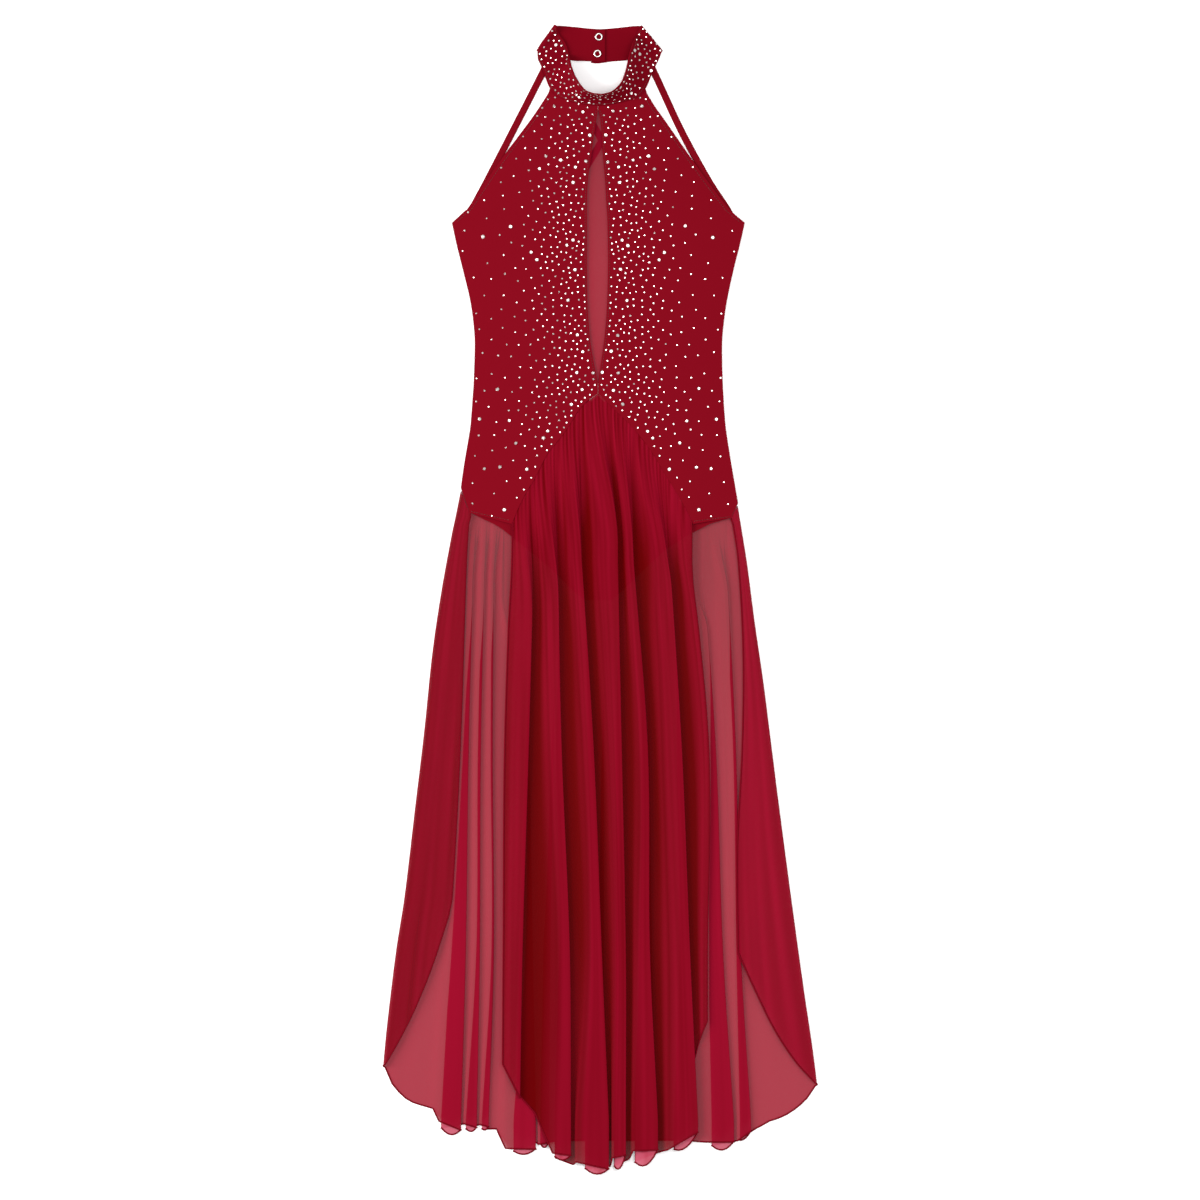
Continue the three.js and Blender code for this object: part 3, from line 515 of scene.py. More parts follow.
# The back bodice and the two parts of the brief, cut flat
BACK_SEAM = [
    # x, y
    (-173.8, 139.5),
    (172.5, 120.5),
]
BACK_SCOOP = [
    # x, y
    (179.5, 469.4),
    (145, 440),
    (96, 394),
    (63.8, 343.8),
    (32.5, 287.5),
    (9, 251),
    (-2.5, 245),
    (-14, 251),
    (-37.5, 287.5),
    (-68.8, 343.8),
    (-101, 394),
    (-150, 440),
    (-183.8, 469.4),
]
BRIEF_BACK_OUTLINE = [
    # x, y
    (-166, 132),
    (-161.5, 109),
    (-145, 100.6),
    (-132.5, 95),
    (-120.6, 87.5),
    (-110, 78.8),
    (-87.5, 61),
    (-60, 38),
    (-34, 12),
    (-20, 0),
    (15, 0),
    (29, 12),
    (55, 38),
    (82, 63),
    (112, 82),
    (137, 95),
    (162.5, 102.5),
    (166, 114),
]
BRIEF_FRONT_OUTLINE = [
    # x, y
    (-2.5, 255.5),
    (-22.3, 238.4),
    (-42.4, 207.8),
    (-64.2, 180.4),
    (-81.2, 148),
    (-90, 134),
    (-100.4, 113.5),
    (-108.4, 93.5),
    (-86, 78),
    (-56, 47),
    (-31, 15),
    (-18, 1),
    (13, 1),
    (27, 15),
    (56, 50),
    (93, 81),
    (114.6, 93.8),
    (106.6, 111),
    (97.2, 127),
    (77.4, 159.5),
    (60, 188),
    (36.2, 217),
    (15.4, 237),
]
CURVE_STEPS = 3
SIDE_INSET = 0.6
SEAM_CLEAR = 0.2
# Rows of the fronts that the back follows, the lowest point kept on each side, and its lower corners
BACK_SIDE_ROWS = slice(8, 20)
LEFT_BACK_LOW_Y = 142
RIGHT_BACK_LOW_Y = 124
BACK_CORNERS_X = (-172.8, 171.6)


def flat_panel(name, outline, thickness, z, material):
    """A flat panel cut to an outline, lying with its middle at height z."""
    count = len(outline)
    verts = [(x, y, z + thickness / 2) for x, y in outline]
    verts += [(x, y, z - thickness / 2) for x, y in outline]
    turn = sum(a[0] * b[1] - b[0] * a[1] for a, b in zip(outline, outline[1:] + outline[:1]))
    order = list(range(count)) if turn > 0 else list(range(count))[::-1]
    faces = [tuple(order), tuple(count + i for i in reversed(order))]
    for k in range(count):
        a, b = order[k], order[(k + 1) % count]
        faces.append((b, a, count + a, count + b))
    return mesh_object(name, verts, faces, material, shade=False)


def back_outline():
    sides = [
        [(x - math.copysign(SIDE_INSET, x), y) for x, y, _, _ in rows[BACK_SIDE_ROWS]]
        for rows in (LEFT_ROWS, RIGHT_ROWS)
    ]
    left = [p for p in sides[0] if p[1] > LEFT_BACK_LOW_Y]
    right = [p for p in sides[1] if p[1] > RIGHT_BACK_LOW_Y][::-1]
    ends = [(x, read(BACK_SEAM, x) + SEAM_CLEAR) for x in BACK_CORNERS_X]
    scoop = rounded(BACK_SCOOP, CURVE_STEPS)
    return scoop + left + [ends[0], ends[1]] + right


bodice_back = flat_panel("bodice_back_jersey", back_outline(), JERSEY_WALL, JERSEY_WALL / 2, JERSEY)
brief_back = flat_panel("brief_back_jersey", BRIEF_BACK_OUTLINE, CHIFFON_WALL, BRIEF_BACK_Z, JERSEY)
brief_front = flat_panel("brief_front_jersey", BRIEF_FRONT_OUTLINE, CHIFFON_WALL, BRIEF_FRONT_Z, JERSEY)

# The halter collar, one strip from the upper end at the centre back round to its lapped end
COLLAR_STATIONS = [
    # top edge x, top edge y, lower edge x, lower edge y, height of the lower edge's middle
    (6.2, 713, 6.2, 673.1, COLLAR_LAP_Z),
    (-2.5, 713.2, -2.5, 673, COLLAR_LAP_Z),
    (-11, 713.8, -11.5, 673.1, COLLAR_LAP_Z),
    (-19, 714.6, -21, 673.6, 1.5),
    (-28, 715.8, -33, 674, 0.75),
    (-45, 717.3, -56, 678.6, 0.75),
    (-54.8, 717.6, -77.8, 686, 0.75),
]
COLLAR_FRONT = [
    # top edge x, top edge y, lower edge x, lower edge y, height of the lower edge's middle
    (-54.4, 717, -77.9, 685.2, 3.3),
    (-51, 706, -77.5, 675.5, 3.3),
    (-43.6, 695.8, -73.5, 667, 3.3),
    (-38.8, 681.2, -68.6, 653.8, 3.3),
    (-35, 662.8, -63.6, 641.3, 3.3),
    (-28.9, 648.3, -56.3, 631.3, 3.4),
    (-20, 634.9, -42.5, 624.4, 3.8),
    (-11.3, 629.5, -25, 620, 4.4),
    (-2.5, 627.7, -2.5, 617.5, 4.8),
    (5.6, 628.1, 17.5, 620, 4.4),
    (16.3, 632.3, 36.3, 624.4, 3.8),
    (26.2, 643, 51.3, 631.3, 3.4),
    (31.9, 657.6, 58.8, 642.5, 3.3),
    (35.6, 673.8, 63.8, 655, 3.3),
    (38.8, 686.8, 68.8, 666.3, 3.3),
    (45, 705, 74.4, 677.5, 3.3),
    (50.4, 716.8, 77, 684.8, 3.3),
]
COLLAR_RETURN = [
    # top edge x, top edge y, lower edge x, lower edge y, height of the lower edge's middle
    (50.8, 717.4, 76.9, 685.6, 0.75),
    (42, 717.3, 56, 678.6, 0.75),
    (30, 716, 34, 674.6, 0.75),
    (15, 714.4, 15, 673, 0.75),
    (-2.5, 713.2, -2.5, 670.6, 0.75),
    (-11.2, 713.2, -11.2, 671.6, 0.75),
]
COLLAR_STEPS = 12
COLLAR_FRONT_STEPS = 4
COLLAR_CURL = math.radians(25)
COLLAR_CURL_RUN = 8
COLLAR_BEND_REACH = 2.0
COLLAR_TURN_ANGLES = (20, 45, 70, 90, 110, 135, 160)


def collar_line(station, stands):
    """One line across the collar, which stands up where its edges come closer than it is wide."""
    top_x, top_y, low_x, low_y, height = station
    plan = math.hypot(top_x - low_x, top_y - low_y)
    curl = COLLAR_CURL * smooth(COLLAR_WIDTH, COLLAR_WIDTH - COLLAR_CURL_RUN, plan) if stands else 0
    spread = math.sin(curl) / curl if curl > 0 else 1
    lean = math.acos(clamp(plan / (COLLAR_WIDTH * spread))) if stands else 0
    raw = [(0.0, 0.0)]
    for i in range(COLLAR_STEPS):
        angle = lean + curl * (((i + 0.5) / COLLAR_STEPS) * 2 - 1)
        raw.append((raw[-1][0] + math.cos(angle), raw[-1][1] + math.sin(angle)))
    along = raw[-1][0]
    line = []
    for a, u in raw:
        rise = u * COLLAR_WIDTH / COLLAR_STEPS if lean > 0 else 0
        line.append((mix(low_x, top_x, a / along), mix(low_y, top_y, a / along), height + rise))
    return line[::-1]


def collar_turn(start, end, side):
    """Lines that bend the collar over from its back layer to its front one, or back again."""
    (x0, y0, _), (x1, y1, _) = start[0], start[-1]
    length = math.hypot(x0 - x1, y0 - y1)
    out_x, out_y = side * (y0 - y1) / length, -side * (x0 - x1) / length
    lines = []
    for angle in COLLAR_TURN_ANGLES:
        share = (1 - math.cos(math.radians(angle))) / 2
        line = []
        for a, b in zip(start, end):
            reach = min(abs(b[2] - a[2]) / 2, COLLAR_BEND_REACH)
            bulge = reach * math.sin(math.radians(angle))
            x, y, z = (mix(a[i], b[i], share) for i in range(3))
            line.append((x + bulge * out_x, y + bulge * out_y, z))
        lines.append(line)
    return lines


collar_start = [collar_line(s, False) for s in rounded(COLLAR_STATIONS, CURVE_STEPS)]
collar_front = [collar_line(s, True) for s in rounded(COLLAR_FRONT, COLLAR_FRONT_STEPS)]
collar_end = [collar_line(s, False) for s in rounded(COLLAR_RETURN, CURVE_STEPS)]
collar_lines = [
    *collar_start,
    *collar_turn(collar_start[-1], collar_front[0], -1),
    *collar_front,
    *collar_turn(collar_front[-1], collar_end[0], 1),
    *collar_end,
]
collar_grid = [[line[i] for line in collar_lines] for i in range(COLLAR_STEPS + 1)]
collar = wall_object("collar_jersey", collar_grid, COLLAR_WALL, COLLAR_JERSEY)

# Straps of folded binding
STRAP_SECTION = [
    # share of the half width, share of the wall
    (-1, 0.0),
    (1, 0.0),
    (1, 0.55),
    (0.85, 0.8),
    (0.45, 1),
    (0.12, 0.92),
    (0, 0.78),
    (-0.12, 0.92),
    (-0.45, 1),
    (-0.85, 0.8),
    (-1, 0.55),
]
STRAP_STEPS = 6
CROSS_LIFT = STRAP_WALL + SEAM_GAP
STRAPS = {
    # Each row: x, y, height of the underside
    "strap_outer_left": [
        (-62.5, 677.2, 0),
        (-96.6, 610, 0),
        (-140.4, 525, 0),
        (-158.3, 491, 0),
        (-170.6, 460.6, 0),
    ],
    "strap_outer_right": [
        (58.5, 677.2, 0),
        (70.3, 653.8, 0),
        (101, 587.5, 0),
        (135, 525, 0),
        (161.5, 483.8, 0),
        (167.4, 462.2, 0),
    ],
    "strap_cross_left": [
        (-51.3, 673.6, 0),
        (2.5, 573.8, 0),
        (101.3, 402, 0),
    ],
    "strap_cross_right": [
        (46.3, 673.6, 0),
        (21, 616, 0),
        (9.5, 589, CROSS_LIFT),
        (2.5, 573.8, CROSS_LIFT),
        (-6, 559.5, CROSS_LIFT),
        (-22, 533, 0),
        (-106.3, 402, 0),
    ],
}


def strap_object(name, path):
    """A strap along its centre points; the outer ones bend, the crossed ones run straight."""
    fine = rounded(path, STRAP_STEPS) if "outer" in name else path
    verts = []
    for i, (x, y, z) in enumerate(fine):
        before, after = fine[max(i - 1, 0)], fine[min(i + 1, len(fine) - 1)]
        dx, dy = after[0] - before[0], after[1] - before[1]
        length = math.hypot(dx, dy)
        for across, up in STRAP_SECTION:
            offset = across * STRAP_WIDTH / 2 / length
            verts.append((x + dy * offset, y - dx * offset, z + up * STRAP_WALL))
    faces = [face[::-1] for face in ring_faces(0, len(fine), len(STRAP_SECTION))]
    thing = mesh_object(name + "_binding", verts, faces, BINDING)
    keep_rim_crisp(thing)
    return thing


straps = {name: strap_object(name, path) for name, path in STRAPS.items()}

# Folds of the two skirt panels, as the CAD has them: a run on top, a turn at the crisp right edge, a
# lap back underneath, a second turn, a low run, and a rise into the next fold.
STATIONS = (50, -188, -438, -650)


def at(values, y):
    """Reads four values, one for each station down the skirt, at height y."""
    return eased(list(zip(STATIONS, values)), y)


FIRST_HEM = (-579, -621, -618, -612, -640)
FRONT_FOLDS = [
    # seam x, crisp edge x, start x, hem y, share where it opens
    (-109.4, (-82.5, -88.8, -96.3, -100), (-111.3, -119, -120.6, -122), FIRST_HEM, 0),
    (-80, (-52.5, -47.5, -37.5, -36), (-70, -65, -55, -59), (-690, -693, -699, -695, -705), 0),
    (-48, (-22.5, -7.5, 2.5, 11.3), (-37.5, -22.5, -15, -30), (-701, -710, -716.5, -710, -707), 0),
    (-18, (22.5, 27.5, 32.5, 32.5), (-5, 10, 17.5, 15), (-696, -692.5, -709, -707, -698), 0),
    (18, (42, 60, 62.5, 72.5), (32, 48, 45, 41), (-687, -686, -705, -702, -688), 0),
    (47, (87.5, 102.5, 112.5, 122.5), (66, 76, 84, 84), (-686, -664, -683, -686, -556), 0),
]
FRONT_END_SEAM = (100, 114.6)
FRONT_END_START = (113.8, 135.6, 133.8, 133.8)
FRONT_END_HEM = (-540, -526)
FRONT_END_REACH = 6
FRONT_END_STEPS = 4
FRONT_END_RAISE = 0.32
FRONT_LAP = (4, 8, 13, 30)
# The first fold has little room to lap
FRONT_OWN_LAPS = {0: (4, 4, 4, 4)}
FRONT_OPENING = (0.2, 0.48)
BACK_FOLDS = [
    # seam x, crisp edge x, start x, hem y, share where it opens
    (-160, (-158, -164, -167.5, -173.5), (-164.5, -174, -189, -201), (-651, -662, -668, -660, -655), 0.04),
    (-147, (-143.8, -148.8, -150, -153.8), (-149, -155, -157, -170), (-654, -659, -664, -661, -656), 0.04),
    (-134, (-132.5, -134, -132.5, -139), (-137.5, -139, -138, -150), (-655, -658, -662, -661, -661), 0.04),
    (-120, (-92, -88, -84, -80), (-106, -108, -114, -118), (-685, -686, -692.5, -689, -678), 0.16),
    (-75, (-55, -58, -62, -63.8), (-66, -69, -73, -77), (-680, -678, -684, -680, -675), 0.16),
    (-45, (5, 5, 5, 5), (-15, -20, -25, -30), (-675, -675, -675, -675, -675), 0.16),
    (20, (60, 62, 65, 68), (40, 37, 35, 33), (-675, -675, -675, -675, -675), 0.16),
    (90, (128, 145, 153.8, 167.5), (116, 131, 134, 133.5), (-677, -677, -687, -682, -676), 0.1),
    (140, (158, 170, 176, 188.8), (152, 164, 168, 172.5), (-675, -664, -672, -675, -660), 0.04),
]
BACK_END_SEAM = (160, 169)
BACK_LAP = (2, 3.2, 9, 28)
# The folds in the two side slits lap more, so that their runs show doubled
SLIT_LAP = (2, 7, 18, 28)
BACK_OWN_LAPS = {fold: SLIT_LAP for fold in (0, 1, 2, 7, 8)}
BACK_OPENING = (0.1, 0.3)
TOP_RUN_CROWN = 0.3
# Painted shade at the start of each top run, and the share of the run over which it fades
TOP_RUN_START_SHADE = 0.45
TOP_RUN_START_SHADE_END = 0.35
LOW_RUN_START = 0.15
TURN_SLACK = 0.2
LOW_RUN_SHARE = 0.45
FULL_TURN_LAP = 2.4
RISE_AHEAD = 2.2
TOP_STEPS = 14
TURN_ANGLES = (30, 60, 90, 120, 150)
RISE_STEPS = 6
RISE_SHADE_END = 0.9
LAP_STEPS = 6
CRISP_COUNT = TOP_STEPS + 1 + len(TURN_ANGLES) * 2 + LAP_STEPS + 2
# Shade of the cloth of a fold: on its top run, round its lap and low between two folds
FRONT_SHADE = (0.54, 0.66, 1.0)
BACK_SHADE = (0.22, 0.32, 0.1)
SINGLE_SHADE = 0.05
UPPER_BACK_SHADE = 0.14
# The laps show below the top runs at the hem, where they lie single; there they are painted lighter,
# painted light for the light they catch
LIT_HEM_START = 0.955
LIT_HEM_END = 0.985
LIT = -DOUBLED / (1 - DOUBLED)
EDGE_POINT = TOP_STEPS + 3
POINTS_IN_FOLD = CRISP_COUNT + 1 + RISE_STEPS


def crisp_points(fold, y, lap, low, high, shade):
    """The points of one fold to the start of its low run, as (x, z, hem part, hem share, shade)."""
    edge, start = at(fold[1], y), at(fold[2], y)
    radius = FOLD_RADIUS
    run = edge - radius
    reach = min(lap, run - start - 2 * radius)
    folded = clamp(reach / FULL_TURN_LAP)
    back = edge - max(reach, FULL_TURN_LAP) + radius
    points = []
    for i in range(TOP_STEPS + 1):
        t = i / TOP_STEPS
        x = mix(start, run, t)
        z = high + TOP_RUN_CROWN * math.sin(math.pi * t)
        start_shade = TOP_RUN_START_SHADE * (1 - smooth(0, TOP_RUN_START_SHADE_END, t))
        points.append((x, z, 0, t, mix(shade[0], shade[2], start_shade)))
    for angle in TURN_ANGLES:
        turn = math.radians(angle)
        x = run + radius * math.sin(turn)
        z = high - radius * (1 - math.cos(turn))
        x = mix(max(x, edge - TURN_SLACK), x, folded)
        points.append((x, z, 0, 1, mix(shade[0], shade[1], angle / 180)))
    for i in range(LAP_STEPS + 1):
        t = i / LAP_STEPS
        x, z = mix(run, back, t), mix(high - 2 * radius, low + 2 * radius, t)
        points.append((mix(edge, x, folded), z, 1, t, shade[1]))
    for angle in TURN_ANGLES:
        turn = math.radians(angle)
        x = back - radius * math.sin(turn)
        z = low + radius * (1 + math.cos(turn))
        points.append((mix(edge, x, folded), z, 2, 0, shade[2]))
    points.append((mix(edge + radius, back, folded), low, 2, LOW_RUN_START, shade[2]))
    return points


def hem_of(hem, next_hem, part, share):
    """Hem height of a point: along the top run, round the lap, along the low run or up the rise."""
    top, edge, under, back, low = hem
    if part == 0:
        return mix(top, edge, share)
    if part == 1:
        return mix(edge, back, share) + 4 * share * (1 - share) * (under - (edge + back) / 2)
    if part == 2:
        return mix(back, low, share)
    return mix(low, next_hem, share)


def fold_columns(folds, end, laps, own_laps, opening, low, high, shade):
    """The columns of a run of folds: seam x, hem y and a place function of y and the share gone by.

    end says where the run ends, by its own seam x, hem y and place function.
    """
    columns = []

    def seam_after(i):
        return folds[i + 1][0] if i + 1 < len(folds) else end["seam"]

    def crisp_at(i, y, share):
        fold = folds[i]
        opens = fold[4]
        lap = at(own_laps.get(i, laps), y)
        lap *= smooth(opens + opening[0], opens + opening[1], share)
        opened = smooth(opens, opens + opening[0], share)
        raised = clamp(RISE_AHEAD * opened)
        out = []
        lit = smooth(LIT_HEM_START, LIT_HEM_END, share)
        for k, (x, z, part, _, depth) in enumerate(crisp_points(fold, y, lap, low, high, shade)):
            seam_x = mix(fold[0], seam_after(i), k / POINTS_IN_FOLD)
            depth = mix(depth, LIT, lit * (part == 1))
            out.append((mix(seam_x, x, opened), z, raised, mix(shade[0], depth, opened)))
        return out

    def ahead(i, y, share):
        return crisp_at(i + 1, y, share)[0] if i + 1 < len(folds) else end["place"](y, share)

    def crisp_place(i, k):
        return lambda y, share: crisp_at(i, y, share)[k]

    def rise_place(i, rise):
        def place(y, share):
            points = crisp_at(i, y, share)
            last, edge, to = points[-1], points[EDGE_POINT], ahead(i, y, share)
            x = mix(max(last[0], edge[0]), to[0], mix(LOW_RUN_SHARE, 1, rise))
            depth = mix(last[3], to[3], smooth(0, RISE_SHADE_END, rise))
            return (x, mix(low, to[1], smooth(0, 1, rise)), mix(last[2], to[2], rise), depth)

        return place

    for i, fold in enumerate(folds):
        next_seam = seam_after(i)
        next_hem = folds[i + 1][3][0] if i + 1 < len(folds) else end["hem"]
        shape = crisp_points(fold, 0, at(laps, 0), low, high, shade)
        for k in range(CRISP_COUNT):
            hem = hem_of(fold[3], next_hem, shape[k][2], shape[k][3])
            columns.append((mix(fold[0], next_seam, k / POINTS_IN_FOLD), hem, crisp_place(i, k)))
        last_seam = mix(fold[0], next_seam, (CRISP_COUNT - 1) / POINTS_IN_FOLD)
        for j in range(RISE_STEPS + 1):
            rise = j / (RISE_STEPS + 1)
            seam_x = mix(last_seam, next_seam, mix(LOW_RUN_SHARE, 1, rise))
            hem = hem_of(fold[3], next_hem, 3, rise) if j else hem_of(fold[3], next_hem, 2, 1)
            columns.append((seam_x, hem, rise_place(i, rise)))
    return columns


# The inverted V at the lower edge of the two fronts, from left to right
V_TOP = (CENTRE_X, 257.5)
V_LEFT = [(row[2], row[3]) for row in LEFT_ROWS[V_START_ROW + 1 :]]
V_RIGHT = [(row[2], row[3]) for row in RIGHT_ROWS[V_START_ROW + 1 :]]
V_SEAM = [*reversed(V_LEFT), V_TOP, *V_RIGHT]
V_SEAM_TUCK = 0.5
SKIRT_ROWS = 84
# Rows lie closer near the top, where the gathers are
FRONT_ROW_POWER = 1.35
BACK_ROW_POWER = 1.15
# Gathers: ridges below the V seam, how far down they reach, and how much both vary
GATHER_PITCH = 5.0
GATHER_HEIGHT = 0.6
GATHER_START = 0.01
GATHER_END_SHARE = 0.085
GATHER_END_SPREAD = (1.1, 7, 1, 0)
GATHER_END_LINE = 4.1
GATHER_PITCH_SPREAD = (0.8, 16, 1, 0)
GATHER_PITCH_LINE = 9.3
GATHER_SHADE = 0.22
GATHER_SHADE_MEAN = 0.2
GATHER_SHADE_WAVE = 0.8
V_SEAM_LIFT = 0.1
# Streaks of shade down the cloth: strength, width, length and noise seed
FRONT_STREAKS = [(0.16, 5, 260, 2.2), (0.14, 1.7, 340, 5.2)]
UPPER_STREAK = (0.28, 2.4, 90, 6.1)
UPPER_STREAK_FADE = (0.1, 0.45)
BACK_STREAK = (0.12, 3, 260, 8.2)
# How the cloth lies: height, width, length and noise seed
FRONT_LIE = (0.5, 40, 120, 1.5)
BACK_LIE = (0.25, 40, 120, 5.5)
FLAP_LIE = (1.1, 22, 66, 7.5)


def row_shares(count, power):
    """Shares down the skirt, one for each row of points."""
    return [(r / (count - 1)) ** power for r in range(count)]


def hip_side_x(y, x):
    """The side seam's x at height y, on the side of the dress where x is."""
    below = (LEFT_ROWS if x < CENTRE_X else RIGHT_ROWS)[KEYHOLE_END_ROW:]
    rows = [(row[1], row[0]) for row in below]
    return read(rows, y)


def skirt_front_grid():
    low, high = FRONT_FOLD_LOW_Z, FRONT_FOLD_HIGH_Z
    end_seam, cut_seam = FRONT_END_SEAM

    def end_place(t):
        def place(y, share):
            opened = smooth(0, FRONT_OPENING[0], share)
            x = at(FRONT_END_START, y) - FRONT_END_REACH * (1 - t)
            z = mix(low, high, FRONT_END_RAISE)
            x = mix(mix(end_seam, cut_seam, t), x, opened)
            return (x, z, clamp(RISE_AHEAD * opened), FRONT_SHADE[0])

        return place

    end = {"seam": end_seam, "hem": FRONT_END_HEM[0], "place": end_place(0)}
    columns = fold_columns(
        FRONT_FOLDS, end, FRONT_LAP, FRONT_OWN_LAPS, FRONT_OPENING, low, high, FRONT_SHADE
    )
    for i in range(FRONT_END_STEPS + 1):
        t = i / FRONT_END_STEPS
        columns.append((mix(end_seam, cut_seam, t), mix(*FRONT_END_HEM, t), end_place(t)))
    grid, depths = [], []
    for share in row_shares(SKIRT_ROWS, FRONT_ROW_POWER):
        line, depth_line = [], []
        for seam_x, hem, place in columns:
            seam_y = read(V_SEAM, seam_x) + V_SEAM_TUCK
            y = mix(seam_y, hem, share)
            x, z, raised, depth = place(y, share)
            reach = GATHER_END_SHARE * (1 + wander(seam_x, GATHER_END_LINE, *GATHER_END_SPREAD))
            fade = 1 - smooth(0, reach, share)
            shift = wander(seam_x, GATHER_PITCH_LINE, *GATHER_PITCH_SPREAD)
            wave = math.sin(2 * math.pi * (seam_x / GATHER_PITCH + shift))
            seam_z = front_height(seam_x, seam_y, hip_side_x(seam_y, seam_x)) + V_SEAM_LIFT
            ridge = GATHER_HEIGHT / 2 * wave * fade * smooth(0, GATHER_START, share)
            line.append((x, y, mix(seam_z, z, raised) + ridge + raised * wander(x, y, *FRONT_LIE)))
            streak = sum(wander(seam_x, y, *row) for row in FRONT_STREAKS)
            streak += wander(seam_x, y, *UPPER_STREAK) * (1 - smooth(*UPPER_STREAK_FADE, share))
            gather = GATHER_SHADE * fade * (GATHER_SHADE_MEAN - GATHER_SHADE_WAVE * wave)
            depth_line.append(mix(DOUBLED, 1, clamp(depth + streak + gather, LIT)))
        grid.append(line)
        depths.append(depth_line)
    return grid, depths


LEFT_SIDE = [
    # y, x
    (140, -173.8),
    (108.8, -180),
    (82.5, -185.6),
    (10, -198.8),
    (-66.3, -210),
    (-162.5, -220),
    (-257.5, -231.3),
    (-372.5, -245),
    (-436.3, -255),
    (-528.8, -266.3),
    (-580, -271.3),
]
RIGHT_SIDE = [
    # y, x
    (120, 172.5),
    (106.3, 174.5),
    (48.8, 183.8),
    (-27.5, 193.8),
    (-105, 205),
    (-181.3, 214.6),
    (-257.5, 224.3),
    (-372.5, 239.5),
    (-485, 255),
    (-561.3, 266.3),
    (-606.3, 271.9),
]
LEFT_FLAP_EDGE = [
    # y, x
    (108.3, -163.5),
    (50, -167),
    (-187.5, -175),
    (-372.5, -185),
    (-394, -189),
    (-560, -203),
]
RIGHT_FLAP_EDGE = [
    # y, x
    (102, 164.8),
    (50, 172.5),
    (-66.3, 178.8),
    (-187.5, 177.5),
    (-312.5, 171.3),
    (-437.5, 172.5),
    (-600, 178),
]
# Heights of each flap's hem at even steps from its free edge to the side fold
LEFT_FLAP_HEM = [(i / 4, y) for i, y in enumerate((-394, -457, -507, -547, -580))]
RIGHT_FLAP_HEM = [(i / 4, y) for i, y in enumerate((-440, -487, -536, -575, -603))]
LEFT_FLOOR_HEM = [
    # share from the side fold to the first fold, y
    (0, -586),
    (0.12, -604),
    (0.4, -624),
    (0.75, -633),
    (1, -638),
]
RIGHT_FLOOR_HEM = [
    # share from the last fold to the side fold, y
    (0, -656),
    (0.35, -649),
    (0.6, -640),
    (0.85, -624),
    (1, -608),
]
LEFT_TOPS = (132, 108.3, 137)
RIGHT_TOPS = (114, 102, 118)
TURN_HEM_DROP = 4
FLAP_STEPS = 26
LEFT_FLAP_SHADE = 0.56
RIGHT_FLAP_SHADE = 0.34
FLAP_STREAK = 0.22
FLAP_STREAK_SCALE = (0.33, 2.2, 40)
FLAP_TUCK = 1.8
# Heights between which the flap is tucked in at the waist, comes down to lie flat, and is slack
FLAP_TUCK_RUN = (94, 104)
FLAP_DROP_RUN = (60, 100)
FLAP_SLACK_RUN = (60, -60)
# Heights of the cloth above the surface between which a side fold turns single again
FLOOR_SHADE_RUN = (3.5, 1.5)
# Heights between which the back's folds get darker towards the waist
UPPER_BACK_RUN = (-260, 20)
SIDE_TURN_ANGLES = (90, 70, 50, 25, 0, -25, -50, -70, -90)
FLOOR_STEPS = 8
LEFT_FLOOR_SEAM = -170
SIDE_OPENS_AT = 0.04
AFTER_LAST_EDGE = 3
# Shares of the way from the last fold to the side fold at which the floor starts and ends
RIGHT_FLOOR_START = 0.15
RIGHT_FLOOR_END = 0.97


def side_columns(side, edge_table, side_table, tops, flap_hem):
    """The columns of one side of the back panel, from its free edge over the side fold to the floor."""
    fold_top, edge_top, floor_top = tops
    fold_hem = flap_hem[-1][1]
    lie = (*FLAP_LIE[:3], FLAP_LIE[3] + side)

    def flap_height(y):
        return mix(FLAP_Z, FRONT_HIP_Z, smooth(*FLAP_DROP_RUN, y))

    def outer(y):
        return eased(side_table, y) - side * CHIFFON_WALL / 2

    def radius(y):
        return (flap_height(y) - BACK_FOLD_LOW_Z) / 2

    def flap_place(t):
        def place(y):
            turn_start = outer(y) - side * radius(y)
            tuck = FLAP_TUCK * smooth(*FLAP_TUCK_RUN, y)
            x = mix(eased(edge_table, y), turn_start, t) - side * tuck
            return x, flap_height(y) + smooth(*FLAP_SLACK_RUN, y) * wander(x, y, *lie)

        return place

    def turn_place(angle):
        def place(y):
            r = radius(y)
            x = outer(y) - side * r * (1 - math.cos(math.radians(angle)))
            return x, BACK_FOLD_LOW_Z + r * (1 + math.sin(math.radians(angle)))

        return place

    columns = []
    for i in range(FLAP_STEPS):
        t = i / FLAP_STEPS
        columns.append((mix(edge_top, fold_top, t), eased(flap_hem, t), flap_place(t)))
    for angle in SIDE_TURN_ANGLES:
        under = clamp((90 - angle) / 180)
        top = mix(fold_top, floor_top, under)
        columns.append((top, fold_hem - TURN_HEM_DROP * under, turn_place(angle)))
    return columns


